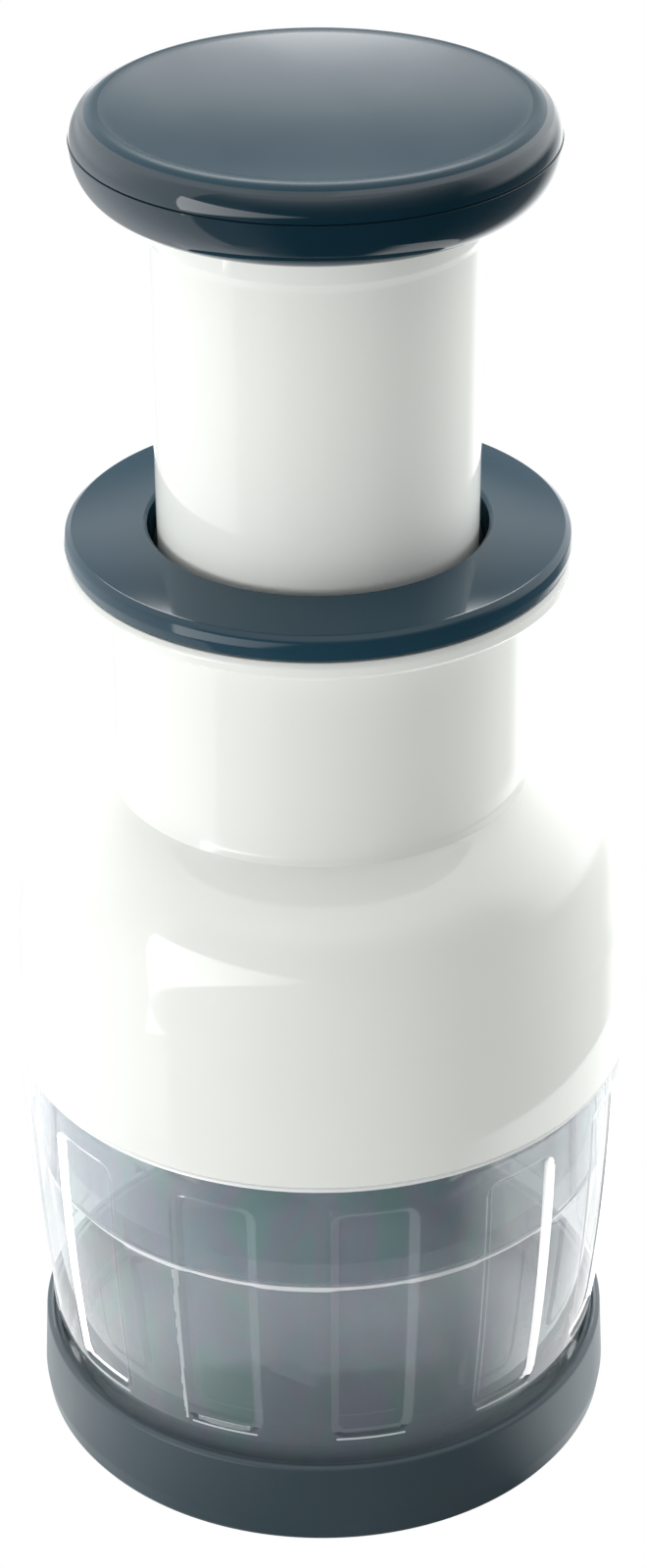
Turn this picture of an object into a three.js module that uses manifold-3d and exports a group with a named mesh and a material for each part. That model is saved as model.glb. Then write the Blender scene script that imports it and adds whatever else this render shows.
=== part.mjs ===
// Vegetable chopper with a spring-backed plunger, in millimetres, +Z up.
// The origin is the centre of the base cap's underside, on the table. The front is -Y.
// The knob is slapped down: tube, holder and blades slide down through the clear guard
// and cut what lies on the board inside the container. The spring brings them back.

import * as THREE from 'three';
import { mergeVertices } from 'three/addons/utils/BufferGeometryUtils.js';
import Module from 'manifold-3d';

const wasm = await Module();
wasm.setup();

// Shared clearances
const fit = 0.3;                  // between pieces that seat on each other
const turnClearance = 0.4;        // between pieces that turn on each other
const overrun = 1;                // how far a cutter reaches past what it cuts

// Travel of the knob
const stroke = 46;
const tipClearance = 0.5;         // left over the board at full stroke
const handClearance = 3.3;        // left between knob and collar ring at full stroke
const plateClearance = 0.4;       // left between clamp and guard plate at full stroke

// Base cap: a shallow dark cup whose floor is the chopping board
const baseInset = 1.9;            // base cap inside the housing's outline
const baseHeight = 14;
const baseFootInset = 0.9;
const baseBulgeHeight = 3.7;
const baseRimInset = 0.5;
const baseRimRound = 0.7;
const baseRimWall = 2.1;
const baseFootWidth = 2.8;
const baseRecess = 1.8;
const baseFloor = 2;
const boardStep = 1.5;
const boardGap = 0.4;
const channelDraft = 0.4;

// Clear container
const containerShow = 52.5;       // height of clear wall between base cap and housing
const footGap = 0.6;
const footDraft = 0.3;
const footWall = 2;
const footTurnHeight = 3.2;       // over the base cap, where the wall has turned outward
const footTurnReach = 1.3;
const chamberWall = 2.4;
const wallBellyHeight = 26;       // where the wall's curve pulls outward
const wallBellyInset = 0.16;
const rimInset = 0.24;
const spigotWall = 1.2;
const spigotHeight = 7.5;
const spigotChamfer = 0.3;

// Recessed panels of the container
const panelCount = 12;
const panelPhase = 9.2;           // degrees from the front to the first panel's middle
const panelWidth = 11.7;          // at the rim; the panels narrow with the wall
const panelFoot = 4.7;            // over the base cap
const panelHead = 4.2;            // under the rim
const panelCorner = 2.6;
const panelRimDepth = 1;
const panelFootDepth = 0.6;
const panelSlope = 1;             // how far a panel's sides lean, as width over depth
const panelClear = 2.5;           // how far a panel's cutter stands off the wall

// Housing: shoulder, neck and top flange
const bodyRadius = 46;
const mouthWall = 1.1;
const housingWall = 2;
const shoulderInset = 0.95;       // from the mouth in to where the shoulder begins
const shoulderDrop = 22.4;
const shoulderReach = 14.9;
const shoulderFall = 4.9;
const shoulderLean = 1.7;
const shoulderRise = 12.3;
const shoulderEdge = 0.6;
const neckReach = 7;              // from the tube out to the neck
const neckWall = 2.3;
const neckHeight = 32.3;
const neckFillet = 1;
const flangeReach = 6.1;          // from the neck out to the flange's rim
const flangeThickness = 2.6;
const flangeRound = 0.7;
const flangeFillet = 2;
const railRise = 4.6;             // from the mouth's step up to the rail that carries the guard
const railThickness = 2.4;
const ledgeThickness = 2.2;
const ledgeInset = 1.4;           // from the tube to the ledge's inner edge
const shoulderOverLedge = 1.9;
const stopRibCount = 6;
const stopRibDepth = 2.9;
const stopRibWidth = 1.6;
const stopRibStart = 4.1;         // from the tube out to a stop rib
const stopRibLength = 9;

// Blade guard: a clear cup that hangs and turns on the housing's rail
const guardWall = 1.6;
const guardNeckWall = 1.8;
const guardNeckGap = 3.1;         // from the blade holder to the guard's neck
const guardNeckTaper = 1.8;
const barbReach = 1.1;
const barbHeight = 0.8;
const barbTaper = 1.4;
const fingerCount = 6;
const fingerGap = 3;
const plateThickness = 2;
const tipLift = 2.2;              // blade tips over the guard's plate at rest
const slotClearance = 0.35;

// Column: hollow splined post on the guard, round the spring
const columnShare = 0.5022;       // column against the tube
const columnWall = 1.9;
const columnFloor = 2.4;
const splineDepth = 1.5;
const splineWidth = 2.4;
const splineCount = 4;
const keyOverlap = 9;             // column above the blade holder at rest
const columnSpigotInset = 5.5;
const columnLip = 0.8;
const columnLipHeight = 0.6;
const columnLipTaper = 0.9;

// Spring
const springGap = 0.65;           // between the wire and the column's bore
const springWire = 1.5;
const springTurns = 13;

// Spring cap
const springCapReach = 5.2;       // from the wire's middle out to the cap's rim
const springCapThickness = 2.2;
const springStemGap = 0.8;
const springStemChamfer = 0.8;
const springStemLength = 24;

// Plunger tube
const tubeShare = 0.4978;         // tube against the housing's outline
const tubeDraft = 0.3;
const tubeWall = 2;
const tubeWeb = 2.3;
const tubeCollar = 0.4;           // collar under the knob, proud of the tube
const tubeCollarHeight = 5;
const tubeCollarFillet = 1;
const bossRadius = 2.7;
const bossHeight = 10;
const bossOffsetDegrees = 90;

// Collar ring
const ringInset = 0.15;           // ring inside the flange's rim
const ringThickness = 4.3;
const ringGap = 1.15;
const ringEdge = 1.1;             // width of the rounded rim round the flat top
const ringFall = 0.75;
const ringWaist = 1.6;
const ringUnderInset = 0.3;
const ringShoulderDrop = 0.35;    // from the flat top's edge down to the rounded rim
const ringHoleRound = 0.5;
const ringSpigot = 8;

// Palm knob
const knobReach = 10.2;           // from the tube out to the knob's rim
const knobFlank = 5.4;            // width of the rounded underside
const knobDepth = 7.2;            // from the underside to the parting line
const knobWall = 2.1;
const knobSocket = 3;
const knobHat = 2;
const knobRim = 2;                // straight inner rim that takes the cap's spigot
const capInset = 0.15;
const capFlank = 3.4;
const capHeight = 4.1;            // from the parting line to where the crest begins
const capCrest = 0.2;
const crestInset = 4.9;
const dishDepth = 2;
const capWall = 2;
const capSpigotWall = 1.5;

// Blades and what holds them
const holderInset = 11;           // blade holder inside the housing's outline
const holderThickness = 3.8;
const clampThickness = 3;
const bladeThickness = 0.6;
const bladeEdge = 0.16;
const bladeBevel = 3;
const bladeGrip = 1.4;            // how deep a blade stands in the holder's groove
const bladeTab = 2;               // how far a blade's top reaches past its ends
const grooveSpare = 0.3;
const bladeWeb = 1.1;             // plastic left beside a slot
const zigzagDepth = 9;
const longBends = 3;              // bends on each half of a long blade
const shortBends = 3;
const edgeMargin = 3.5;
const shortEdgeMargin = 2.2;

// Screws
const screwHead = 2.4;
const screwHeadHeight = 1.6;
const screwDome = 0.3;
const screwShank = 1.2;
const screwLength = 12;
const counterboreDepth = 2;
const bossCount = 3;

// Fineness of the round forms
const roundSteps = 36;
const innerSteps = 24;
const smallSteps = 10;
const springSteps = 7;
const springSides = 4;
const wallSteps = 4;
const shoulderSteps = 6;
const flankSteps = 4;
const innerFlankSteps = 2;
const dishSteps = 3;
const cornerSteps = 2;
const bowlStart = -20;            // degrees under the parting line where the bowl's inside begins

// Heights, from the table up
const channelTop = baseRecess + baseFloor;
const boardTop = channelTop + boardStep;
const containerFoot = channelTop + fit;
const containerRim = baseHeight + containerShow;
const tipRest = boardTop + tipClearance + stroke;
const plateTop = tipRest - tipLift;
const plateBottom = plateTop - plateThickness;
const guardLedge = plateBottom - fit;
const housingEdge = containerRim + fit;
const spigotTop = containerRim + spigotHeight;
const mouthTop = spigotTop + fit;
const railBottom = mouthTop + railRise;
const railTop = railBottom + railThickness;
const clampBottom = plateTop + plateClearance + stroke;
const clampTop = clampBottom + clampThickness;
const holderBottom = clampTop + fit;
const holderTop = holderBottom + holderThickness;
const ribBottom = holderTop + fit;
const ledgeBottom = ribBottom + stopRibDepth;
const ledgeTop = ledgeBottom + ledgeThickness;
const shoulderTop = ledgeTop + shoulderOverLedge;
const shoulderStart = shoulderTop - shoulderDrop;
const flangeBottom = shoulderTop + neckHeight;
const neckTop = flangeBottom + flangeThickness;
const ringBottom = neckTop + fit;
const ringTop = ringBottom + ringThickness;
const knobBottom = ringTop + stroke + handClearance;
const partingLine = knobBottom + knobDepth;
const tubeBottom = holderTop + fit;
const tubeTop = knobBottom + knobSocket;
const hatBottom = tubeTop + fit;
const hatTop = hatBottom + knobHat;
const columnBottom = plateTop + fit;
const columnTop = holderTop + keyOverlap;
const capBottom = partingLine + fit;
const webBottom = tubeTop - tubeWeb;
const springCapTop = webBottom - fit;
const springCapBottom = springCapTop - springCapThickness;

// Radii that follow from what fits into what
const baseRadius = bodyRadius - baseInset;
const baseFootRadius = baseRadius - baseFootInset;
const baseRimRadius = baseRadius - baseRimInset;
const shoulderRadius = bodyRadius - shoulderInset;
const holderRadius = bodyRadius - holderInset;
const tubeRadius = bodyRadius * tubeShare;
const neckRadius = tubeRadius + neckReach;
const flangeRadius = neckRadius + flangeReach;
const stopRibInner = tubeRadius + stopRibStart;
const stopRibOuter = stopRibInner + stopRibLength;
const ringRadius = flangeRadius - ringInset;
const ringEdgeRadius = ringRadius - ringEdge;
const knobRadius = tubeRadius + knobReach;
const crestRadius = knobRadius - crestInset;
const columnRadius = tubeRadius * columnShare;
const springRadius = columnRadius - columnWall - springGap - springWire / 2;
const columnSpigotRadius = columnRadius - columnSpigotInset;
const springCapRadius = springRadius + springCapReach;
const lipRadius = baseRimRadius - baseRimWall;
const channelRadius = lipRadius - channelDraft;
const footRadius = lipRadius - footGap;
const footInner = footRadius - footDraft - footWall;
const boardRadius = footInner - boardGap;
const rimRadius = bodyRadius - rimInset;
const mouthRadius = bodyRadius - mouthWall;
const spigotRadius = mouthRadius - fit;
const guardBore = spigotRadius - spigotWall;
const guardRadius = guardBore - fit;
const guardInner = guardRadius - guardWall;
const guardNeckInner = holderRadius + guardNeckGap;
const guardNeckRadius = guardNeckInner + guardNeckWall;
const railRadius = guardNeckRadius + turnClearance;
const neckBore = neckRadius - neckWall;
const bushRadius = neckBore - fit;
const bushBore = tubeRadius + fit;
const ringHole = tubeRadius + ringGap;
const tubeBore = tubeRadius - tubeWall;
const bossCircle = tubeBore - bossRadius;
const screwHole = screwShank + fit;
const splineRadius = columnRadius + splineDepth;
const collarRadius = tubeRadius + tubeCollar;
const socketRadius = collarRadius + fit;
const grooveWidth = bladeThickness + 2 * fit;

// Geometry helpers

function asSolid(geometry) {
  const bare = new THREE.BufferGeometry();
  bare.setAttribute('position', geometry.getAttribute('position').clone());
  if (geometry.index) bare.setIndex(geometry.index.clone());
  const merged = mergeVertices(bare);
  const triVerts = [];
  const corners = merged.index.array;
  for (let i = 0; i < corners.length; i += 3) {
    const [a, b, c] = corners.slice(i, i + 3);
    if (a !== b && b !== c && c !== a) triVerts.push(a, b, c);
  }
  const vertProperties = new Float32Array(merged.getAttribute('position').array);
  return new wasm.Manifold(new wasm.Mesh({
    numProp: 3, vertProperties, triVerts: new Uint32Array(triVerts),
  }));
}

function asGeometry(solid) {
  const mesh = solid.getMesh();
  const geometry = new THREE.BufferGeometry();
  geometry.setAttribute('position', new THREE.BufferAttribute(mesh.vertProperties, 3));
  geometry.setIndex(new THREE.BufferAttribute(mesh.triVerts, 1));
  return geometry;
}

// A closed profile of [radius, height] points, anticlockwise, turned round the Z axis
function revolve(profile, steps = roundSteps) {
  const points = profile.map(([r, z]) => new THREE.Vector2(r, z));
  const onAxis = profile[0][0] === 0 && profile[profile.length - 1][0] === 0;
  if (!onAxis) points.push(points[0].clone());
  const geometry = new THREE.LatheGeometry(points, steps);
  geometry.rotateX(Math.PI / 2);
  return asSolid(geometry);
}

function cylinder(radius, low, high, steps = smallSteps) {
  return revolve([[0, low], [radius, low], [radius, high], [0, high]], steps);
}

// An outline of Vector2 points pushed up from one height to another
function prism(outline, low, high) {
  const geometry = new THREE.ExtrudeGeometry(new THREE.Shape(outline), {
    depth: high - low, bevelEnabled: false,
  });
  geometry.translate(0, 0, low);
  return asSolid(geometry);
}

// Rings with the same number of points, joined one after another and closed at both ends.
// The flat outline says how the end faces are divided into triangles.
function loft(rings, flatOutline) {
  const count = rings[0].length;
  const faces = [];
  for (let k = 0; k + 1 < rings.length; k += 1) {
    for (let i = 0; i < count; i += 1) {
      const a = k * count + i;
      const b = k * count + (i + 1) % count;
      faces.push(a, b, b + count, a, b + count, a + count);
    }
  }
  const last = (rings.length - 1) * count;
  for (const [a, b, c] of THREE.ShapeUtils.triangulateShape(flatOutline, [])) {
    faces.push(c, b, a, last + a, last + b, last + c);
  }
  const geometry = new THREE.BufferGeometry().setFromPoints(rings.flat());
  geometry.setIndex(faces);
  return asSolid(geometry);
}

const cut = (body, ...tools) => tools.reduce((rest, tool) => rest.subtract(tool), body);
const join = (...bodies) => bodies.reduce((all, body) => all.add(body));

// Copies turned round the Z axis, evenly over the full circle
function around(solid, count, phase = 0) {
  const turns = Array.from({ length: count }, (_, i) => phase + i * 360 / count);
  return join(...turns.map((turn) => solid.rotate([0, 0, turn])));
}

// Directions in the radius and height plane, in degrees
const out = 0;
const up = 90;
const back = 180;
const down = -90;

// Part of an ellipse as [radius, height] points, from one direction to another
function quarter(centre, width, height, from, to, steps) {
  return Array.from({ length: steps + 1 }, (_, i) => {
    const angle = THREE.MathUtils.degToRad(from + (to - from) * i / steps);
    return [centre[0] + width * Math.cos(angle), centre[1] + height * Math.sin(angle)];
  });
}

function curvePoints(curve, steps) {
  return curve.getPoints(steps).map((p) => [p.x, p.y]);
}

// Points moved by a wall thickness towards the inside of an anticlockwise profile
function inward(points, wall) {
  return points.map(([r, z], i) => {
    const [r0, z0] = points[Math.max(i - 1, 0)];
    const [r1, z1] = points[Math.min(i + 1, points.length - 1)];
    const length = Math.hypot(r1 - r0, z1 - z0);
    return [r - wall * (z1 - z0) / length, z + wall * (r1 - r0) / length];
  });
}

// The outline of a strip of even width along a bent line, longer by extra at both ends
function ribbon(line, width, extra = 0) {
  const ends = [line[0], line[line.length - 1]];
  const next = [line[1], line[line.length - 2]];
  const pulled = ends.map((end, i) => {
    const away = end.clone().sub(next[i]).normalize();
    return end.clone().addScaledVector(away, extra);
  });
  const path = [pulled[0], ...line.slice(1, -1), pulled[1]];
  const side = (sign) => path.map((point, i) => {
    const before = path[Math.max(i - 1, 0)];
    const after = path[Math.min(i + 1, path.length - 1)];
    const into = point.clone().sub(before);
    const out = after.clone().sub(point);
    const normals = [into, out].filter((v) => v.length() > 0)
      .map((v) => new THREE.Vector2(v.y, -v.x).normalize());
    const mean = normals.reduce((a, b) => a.clone().add(b)).normalize();
    const reach = sign * width / 2 / mean.dot(normals[0]);
    return point.clone().addScaledVector(mean, reach);
  });
  return [...side(1), ...side(-1).reverse()];
}

function material(colour, roughness, metalness = 0, opacity = 1) {
  return new THREE.MeshStandardMaterial({
    color: colour, roughness, metalness, opacity, transparent: opacity < 1,
  });
}

const whitePlastic = material(0xf1f3f2, 0.25);
const glossTeal = material(0x1c2d38, 0.2);
const satinTeal = material(0x43565f, 0.45);
const matteTeal = material(0x3a4c57, 0.6);
const clearPlastic = material(0xe6ecef, 0.05, 0, 0.3);
const naturalPlastic = material(0xe2dfd6, 0.45);
const steel = material(0xc4c8cb, 0.25, 1);

// Base cap

function baseCap() {
  const rimShoulder = baseHeight - baseRimRound;
  return revolve([
    [0, baseRecess],
    [baseFootRadius - baseFootWidth, baseRecess],
    [baseFootRadius - baseFootWidth, 0],
    [baseFootRadius, 0],
    [(baseFootRadius + baseRadius) / 2, baseBulgeHeight / 4],
    [baseRadius, baseBulgeHeight],
    [baseRimRadius, rimShoulder],
    [baseRimRadius - baseRimRound, baseHeight],
    [lipRadius + baseRimRound, baseHeight],
    [lipRadius, rimShoulder],
    [channelRadius, channelTop],
    [boardRadius, channelTop],
    [boardRadius, boardTop],
    [0, boardTop],
  ]);
}

// Container

const wallFoot = [footRadius + footTurnReach, baseHeight + footTurnHeight];
const wallBelly = [rimRadius - wallBellyInset, baseHeight + wallBellyHeight];

function containerWall(footInset, rimInset = footInset) {
  const curve = new THREE.QuadraticBezierCurve(
    new THREE.Vector2(wallFoot[0] - footInset, wallFoot[1]),
    new THREE.Vector2(wallBelly[0] - (footInset + rimInset) / 2, wallBelly[1]),
    new THREE.Vector2(rimRadius - rimInset, containerRim),
  );
  return curvePoints(curve, wallSteps);
}

// The radius of a rising profile at a height, its end pieces carried on past its ends
function radiusAt(points, height) {
  const above = points.findIndex(([, z]) => z >= height);
  const i = above < 0 ? points.length - 1 : Math.max(above, 1);
  const [r0, z0] = points[i - 1];
  const [r1, z1] = points[i];
  return r0 + (r1 - r0) * (height - z0) / (z1 - z0);
}

// A panel's outline, grown all round: across at the rim's radius, and up
function panelOutline(growth) {
  const half = panelWidth / 2 - panelCorner;
  const low = baseHeight + panelFoot + panelCorner;
  const high = containerRim - panelHead - panelCorner;
  const corner = (x, z, from) => quarter(
    [x, z], panelCorner + growth, panelCorner + growth, from, from + up, cornerSteps,
  );
  const side = (x, from, to) => Array.from({ length: wallSteps - 1 }, (_, i) => (
    [x, from + (to - from) * (i + 1) / wallSteps]
  ));
  const reach = half + panelCorner + growth;
  return [
    ...corner(half, low, down),
    ...side(reach, low, high),
    ...corner(half, high, out),
    ...corner(-half, high, up),
    ...side(-reach, high, low),
    ...corner(-half, low, back),
  ];
}

function panelCutters() {
  const wall = containerWall(0);
  const face = (growth, shift) => panelOutline(growth).map(([x, z]) => {
    const angle = x / rimRadius;
    const radius = radiusAt(wall, z) + shift;
    return new THREE.Vector3(radius * Math.sin(angle), -radius * Math.cos(angle), z);
  });
  const sink = panelRimDepth + overrun;
  const flat = panelOutline(0).map(([x, z]) => new THREE.Vector2(x, z));
  const wedge = loft([
    face(-panelSlope * sink, -sink),
    face(panelSlope * panelClear, panelClear),
  ], flat);
  const core = revolve([
    [0, 0],
    [footRadius - panelFootDepth, 0],
    ...containerWall(panelFootDepth, panelRimDepth),
    [0, containerRim],
  ]);
  return around(wedge, panelCount, panelPhase).subtract(core);
}

function container() {
  const outer = containerWall(0);
  const inner = containerWall(chamberWall);
  const chamber = inner.filter(([, z]) => z < guardLedge - overrun).reverse();
  const shell = revolve([
    [footRadius - footDraft, containerFoot],
    [footRadius, baseHeight],
    ...outer,
    [spigotRadius, containerRim],
    [spigotRadius, spigotTop - spigotChamfer],
    [spigotRadius - spigotChamfer, spigotTop],
    [guardBore, spigotTop],
    [guardBore, guardLedge],
    [radiusAt(inner, guardLedge), guardLedge],
    ...chamber,
    [footInner + footDraft, baseHeight],
    [footInner, containerFoot],
  ]);
  return cut(shell, panelCutters());
}

// Housing

const shoulderCurve = curvePoints(new THREE.CubicBezierCurve(
  new THREE.Vector2(shoulderRadius, shoulderStart),
  new THREE.Vector2(shoulderRadius - shoulderLean, shoulderStart + shoulderRise),
  new THREE.Vector2(neckRadius + shoulderEdge + shoulderReach, shoulderTop - shoulderFall),
  new THREE.Vector2(neckRadius + shoulderEdge, shoulderTop),
), shoulderSteps);

function housing() {
  const flangeEdge = flangeRadius - flangeRound;
  const outer = [[bodyRadius, housingEdge], ...shoulderCurve];
  const inside = inward(outer, housingWall)
    .filter(([, z]) => z > railTop + overrun && z < ledgeBottom).reverse();
  const wallLean = (bodyRadius - shoulderRadius) / (shoulderStart - housingEdge);
  const railWall = bodyRadius - housingWall - wallLean * (railTop - housingEdge);
  const shell = revolve([
    ...outer,
    [neckRadius, shoulderTop + neckFillet],
    [neckRadius, flangeBottom - flangeFillet],
    [neckRadius + flangeFillet / 2, flangeBottom - flangeFillet / 4],
    [flangeEdge, flangeBottom],
    [flangeRadius, flangeBottom + flangeRound],
    [flangeRadius, neckTop - flangeRound],
    [flangeEdge, neckTop],
    [neckBore, neckTop],
    [neckBore, ledgeTop],
    [tubeRadius + ledgeInset, ledgeTop],
    [tubeRadius + ledgeInset, ledgeBottom],
    [stopRibOuter, ledgeBottom],
    ...inside,
    [railWall, railTop],
    [railRadius, railTop],
    [railRadius, railBottom],
    [guardBore, railBottom],
    [guardBore, mouthTop],
    [mouthRadius, mouthTop],
    [mouthRadius, housingEdge],
  ]);
  const half = stopRibWidth / 2;
  const rib = prism([
    new THREE.Vector2(stopRibInner, -half),
    new THREE.Vector2(stopRibOuter, -half),
    new THREE.Vector2(stopRibOuter, half),
    new THREE.Vector2(stopRibInner, half),
  ], ribBottom, ledgeBottom + ledgeThickness / 2);
  return join(shell, around(rib, stopRibCount));
}

// Collar ring and guide bush

const ringSpigotBottom = ringBottom - ringSpigot;

function collarRing() {
  return revolve([
    [ringHole, ringSpigotBottom],
    [bushRadius, ringSpigotBottom],
    [bushRadius, ringBottom],
    [ringRadius - ringUnderInset, ringBottom],
    [ringRadius, ringBottom + ringWaist],
    [ringRadius - ringUnderInset, ringTop - ringFall - ringShoulderDrop],
    [ringEdgeRadius, ringTop - ringFall],
    [ringHole + ringHoleRound, ringTop],
    [ringHole, ringTop - ringHoleRound],
  ]);
}

function guideBush() {
  return revolve([
    [bushBore, ledgeTop + fit],
    [bushRadius, ledgeTop + fit],
    [bushRadius, ringSpigotBottom - fit],
    [bushBore, ringSpigotBottom - fit],
  ]);
}

// Zigzag lines of the four blades, as seen from above

const rowOuter = bossCircle + Math.SQRT2 * (screwHead + fit + grooveWidth / 2 + bladeWeb);
const rowInner = rowOuter - zigzagDepth;

function longLine() {
  const reach = Math.sqrt((holderRadius - edgeMargin) ** 2 - rowInner ** 2);
  const line = [];
  for (let i = -longBends; i <= longBends; i += 1) {
    const y = i % 2 === 0 ? rowOuter : rowInner;
    line.push(new THREE.Vector2(reach * i / longBends, y));
  }
  return line;
}

function shortLine() {
  const start = splineRadius + fit + bladeWeb;
  const reach = holderRadius - shortEdgeMargin - start;
  const line = [];
  for (let i = 0; i <= shortBends; i += 1) {
    const y = (i % 2 === 0 ? zigzagDepth : -zigzagDepth) / 2;
    line.push(new THREE.Vector2(start + reach * i / shortBends, y));
  }
  return line;
}

const turned = (line) => line.map((p) => new THREE.Vector2(-p.x, -p.y));
const bladeLines = {
  blade_row_back: longLine(),
  blade_row_front: turned(longLine()),
  blade_side_right: shortLine(),
  blade_side_left: turned(shortLine()),
};

const bladeTop = holderBottom + bladeGrip;

function blade(line) {
  const ring = (width, z) => ribbon(line, width).map((p) => new THREE.Vector3(p.x, p.y, z));
  const strip = loft([
    ring(bladeEdge, tipRest),
    ring(bladeThickness, tipRest + bladeBevel),
    ring(bladeThickness, bladeTop),
  ], ribbon(line, bladeThickness));
  return join(strip, prism(ribbon(line, bladeThickness, bladeTab), clampTop + fit, bladeTop));
}

function bladeSlots(width, extra, low, high) {
  const lines = Object.values(bladeLines);
  return join(...lines.map((line) => prism(ribbon(line, width, extra), low, high)));
}

// Splined column, with its own keyways in what slides on it

function splined(growth, low, high) {
  const half = splineWidth / 2 + growth;
  const reach = splineRadius + growth;
  const spline = prism([
    new THREE.Vector2(0, -half),
    new THREE.Vector2(reach, -half),
    new THREE.Vector2(reach, half),
    new THREE.Vector2(0, half),
  ], low, high);
  const body = cylinder(columnRadius + growth, low, high, innerSteps);
  return join(body, around(spline, splineCount, 180 / splineCount));
}

function guardColumn() {
  const floor = columnBottom + columnFloor;
  const bore = cylinder(columnRadius - columnWall, floor, columnTop + overrun, innerSteps);
  const lipBottom = plateBottom - fit - columnLipHeight;
  const snapFoot = revolve([
    [0, lipBottom - columnLipTaper],
    [columnSpigotRadius, lipBottom - columnLipTaper],
    [columnSpigotRadius + columnLip, lipBottom],
    [columnSpigotRadius + columnLip, plateBottom - fit],
    [columnSpigotRadius, plateBottom - fit],
    [columnSpigotRadius, columnBottom + columnFloor / 2],
    [0, columnBottom + columnFloor / 2],
  ], innerSteps);
  return join(cut(splined(0, columnBottom, columnTop), bore), snapFoot);
}

// Blade guard

function bladeGuard() {
  const shoulder = railBottom - fit;
  const barbBottom = railTop + turnClearance;
  const barbTop = barbBottom + barbHeight;
  const barbRadius = railRadius + barbReach;
  const guardTop = barbTop + barbTaper;
  const cup = revolve([
    [columnSpigotRadius + fit, plateBottom],
    [guardRadius, plateBottom],
    [guardRadius, shoulder],
    [guardNeckRadius, shoulder],
    [guardNeckRadius, barbBottom],
    [barbRadius, barbBottom],
    [barbRadius, barbTop],
    [guardNeckRadius, guardTop],
    [guardNeckInner, guardTop],
    [guardNeckInner, shoulder - guardNeckTaper],
    [guardInner, shoulder - guardNeckTaper - (guardInner - guardNeckInner)],
    [guardInner, plateTop],
    [columnSpigotRadius + fit, plateTop],
  ]);
  const half = fingerGap / 2;
  const gap = prism([
    new THREE.Vector2(0, -half),
    new THREE.Vector2(barbRadius + overrun, -half),
    new THREE.Vector2(barbRadius + overrun, half),
    new THREE.Vector2(0, half),
  ], shoulder + turnClearance, guardTop + overrun);
  const slots = bladeSlots(
    bladeThickness + 2 * slotClearance,
    slotClearance,
    plateBottom - overrun,
    plateTop + overrun,
  );
  return cut(cup, around(gap, fingerCount), slots);
}

// Blade holder and clamp

function screwHoles(radius, low, high) {
  const hole = cylinder(radius, low, high).translate([bossCircle, 0, 0]);
  return around(hole, bossCount, bossOffsetDegrees);
}

function bladeHolder() {
  const disc = cylinder(holderRadius, holderBottom, holderTop, roundSteps);
  const grooves = bladeSlots(
    grooveWidth,
    bladeTab + fit,
    holderBottom - overrun,
    bladeTop + grooveSpare,
  );
  return cut(
    disc,
    splined(fit, holderBottom - overrun, holderTop + overrun),
    grooves,
    screwHoles(screwHole, holderBottom - overrun, holderTop + overrun),
  );
}

const counterboreTop = clampBottom + counterboreDepth;

function bladeClamp() {
  const disc = cylinder(holderRadius, clampBottom, clampTop, roundSteps);
  return cut(
    disc,
    splined(fit, clampBottom - overrun, clampTop + overrun),
    bladeSlots(grooveWidth, fit, clampBottom - overrun, clampTop + overrun),
    screwHoles(screwHole, clampBottom - overrun, clampTop + overrun),
    screwHoles(screwHead + fit, clampBottom - overrun, counterboreTop),
  );
}

// Plunger tube

function plungerTube() {
  const collarBottom = knobBottom - tubeCollarHeight;
  const shell = revolve([
    [0, webBottom],
    [tubeBore, webBottom],
    [tubeBore, tubeBottom],
    [tubeRadius - tubeDraft, tubeBottom],
    [tubeRadius, collarBottom - tubeCollarFillet],
    [collarRadius, collarBottom],
    [collarRadius, tubeTop],
    [0, tubeTop],
  ]);
  const lowBoss = cylinder(bossRadius + fit, tubeBottom, tubeBottom + bossHeight);
  const highBoss = cylinder(bossRadius + fit, webBottom - bossHeight, tubeTop - tubeWeb / 2);
  const bosses = [lowBoss, highBoss].map(
    (boss) => around(boss.translate([bossCircle, 0, 0]), bossCount, bossOffsetDegrees),
  );
  return cut(
    join(shell, ...bosses),
    screwHoles(screwHole, tubeBottom - overrun, tubeBottom + bossHeight - overrun),
    screwHoles(screwHole, webBottom - bossHeight + overrun, tubeTop + overrun),
  );
}

// Spring and its cap

class Helix extends THREE.Curve {
  constructor(radius, low, high, turns) {
    super();
    Object.assign(this, { radius, low, high, turns });
  }

  getPoint(t, target = new THREE.Vector3()) {
    const angle = 2 * Math.PI * this.turns * t;
    const height = this.low + (this.high - this.low) * t;
    return target.set(this.radius * Math.cos(angle), this.radius * Math.sin(angle), height);
  }
}

function mainSpring() {
  const half = springWire / 2;
  const low = columnBottom + columnFloor + fit + half;
  const high = springCapBottom - fit - half;
  const section = new THREE.Shape();
  section.absarc(0, 0, half, 0, 2 * Math.PI);
  const geometry = new THREE.ExtrudeGeometry(
    new THREE.Shape(section.getSpacedPoints(springSides).slice(0, springSides)),
    {
      extrudePath: new Helix(springRadius, low, high, springTurns),
      steps: springTurns * springSteps,
    },
  );
  return asSolid(geometry);
}

function springCap() {
  const stemRadius = springRadius - springWire / 2 - springStemGap;
  const stemBottom = springCapBottom - springStemLength;
  return revolve([
    [0, stemBottom],
    [stemRadius - springStemChamfer, stemBottom],
    [stemRadius, stemBottom + springStemChamfer],
    [stemRadius, springCapBottom],
    [springCapRadius, springCapBottom],
    [springCapRadius, springCapTop],
    [0, springCapTop],
  ], innerSteps);
}

// Palm knob: a rounded bowl below the parting line and a dished cap above it

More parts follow.
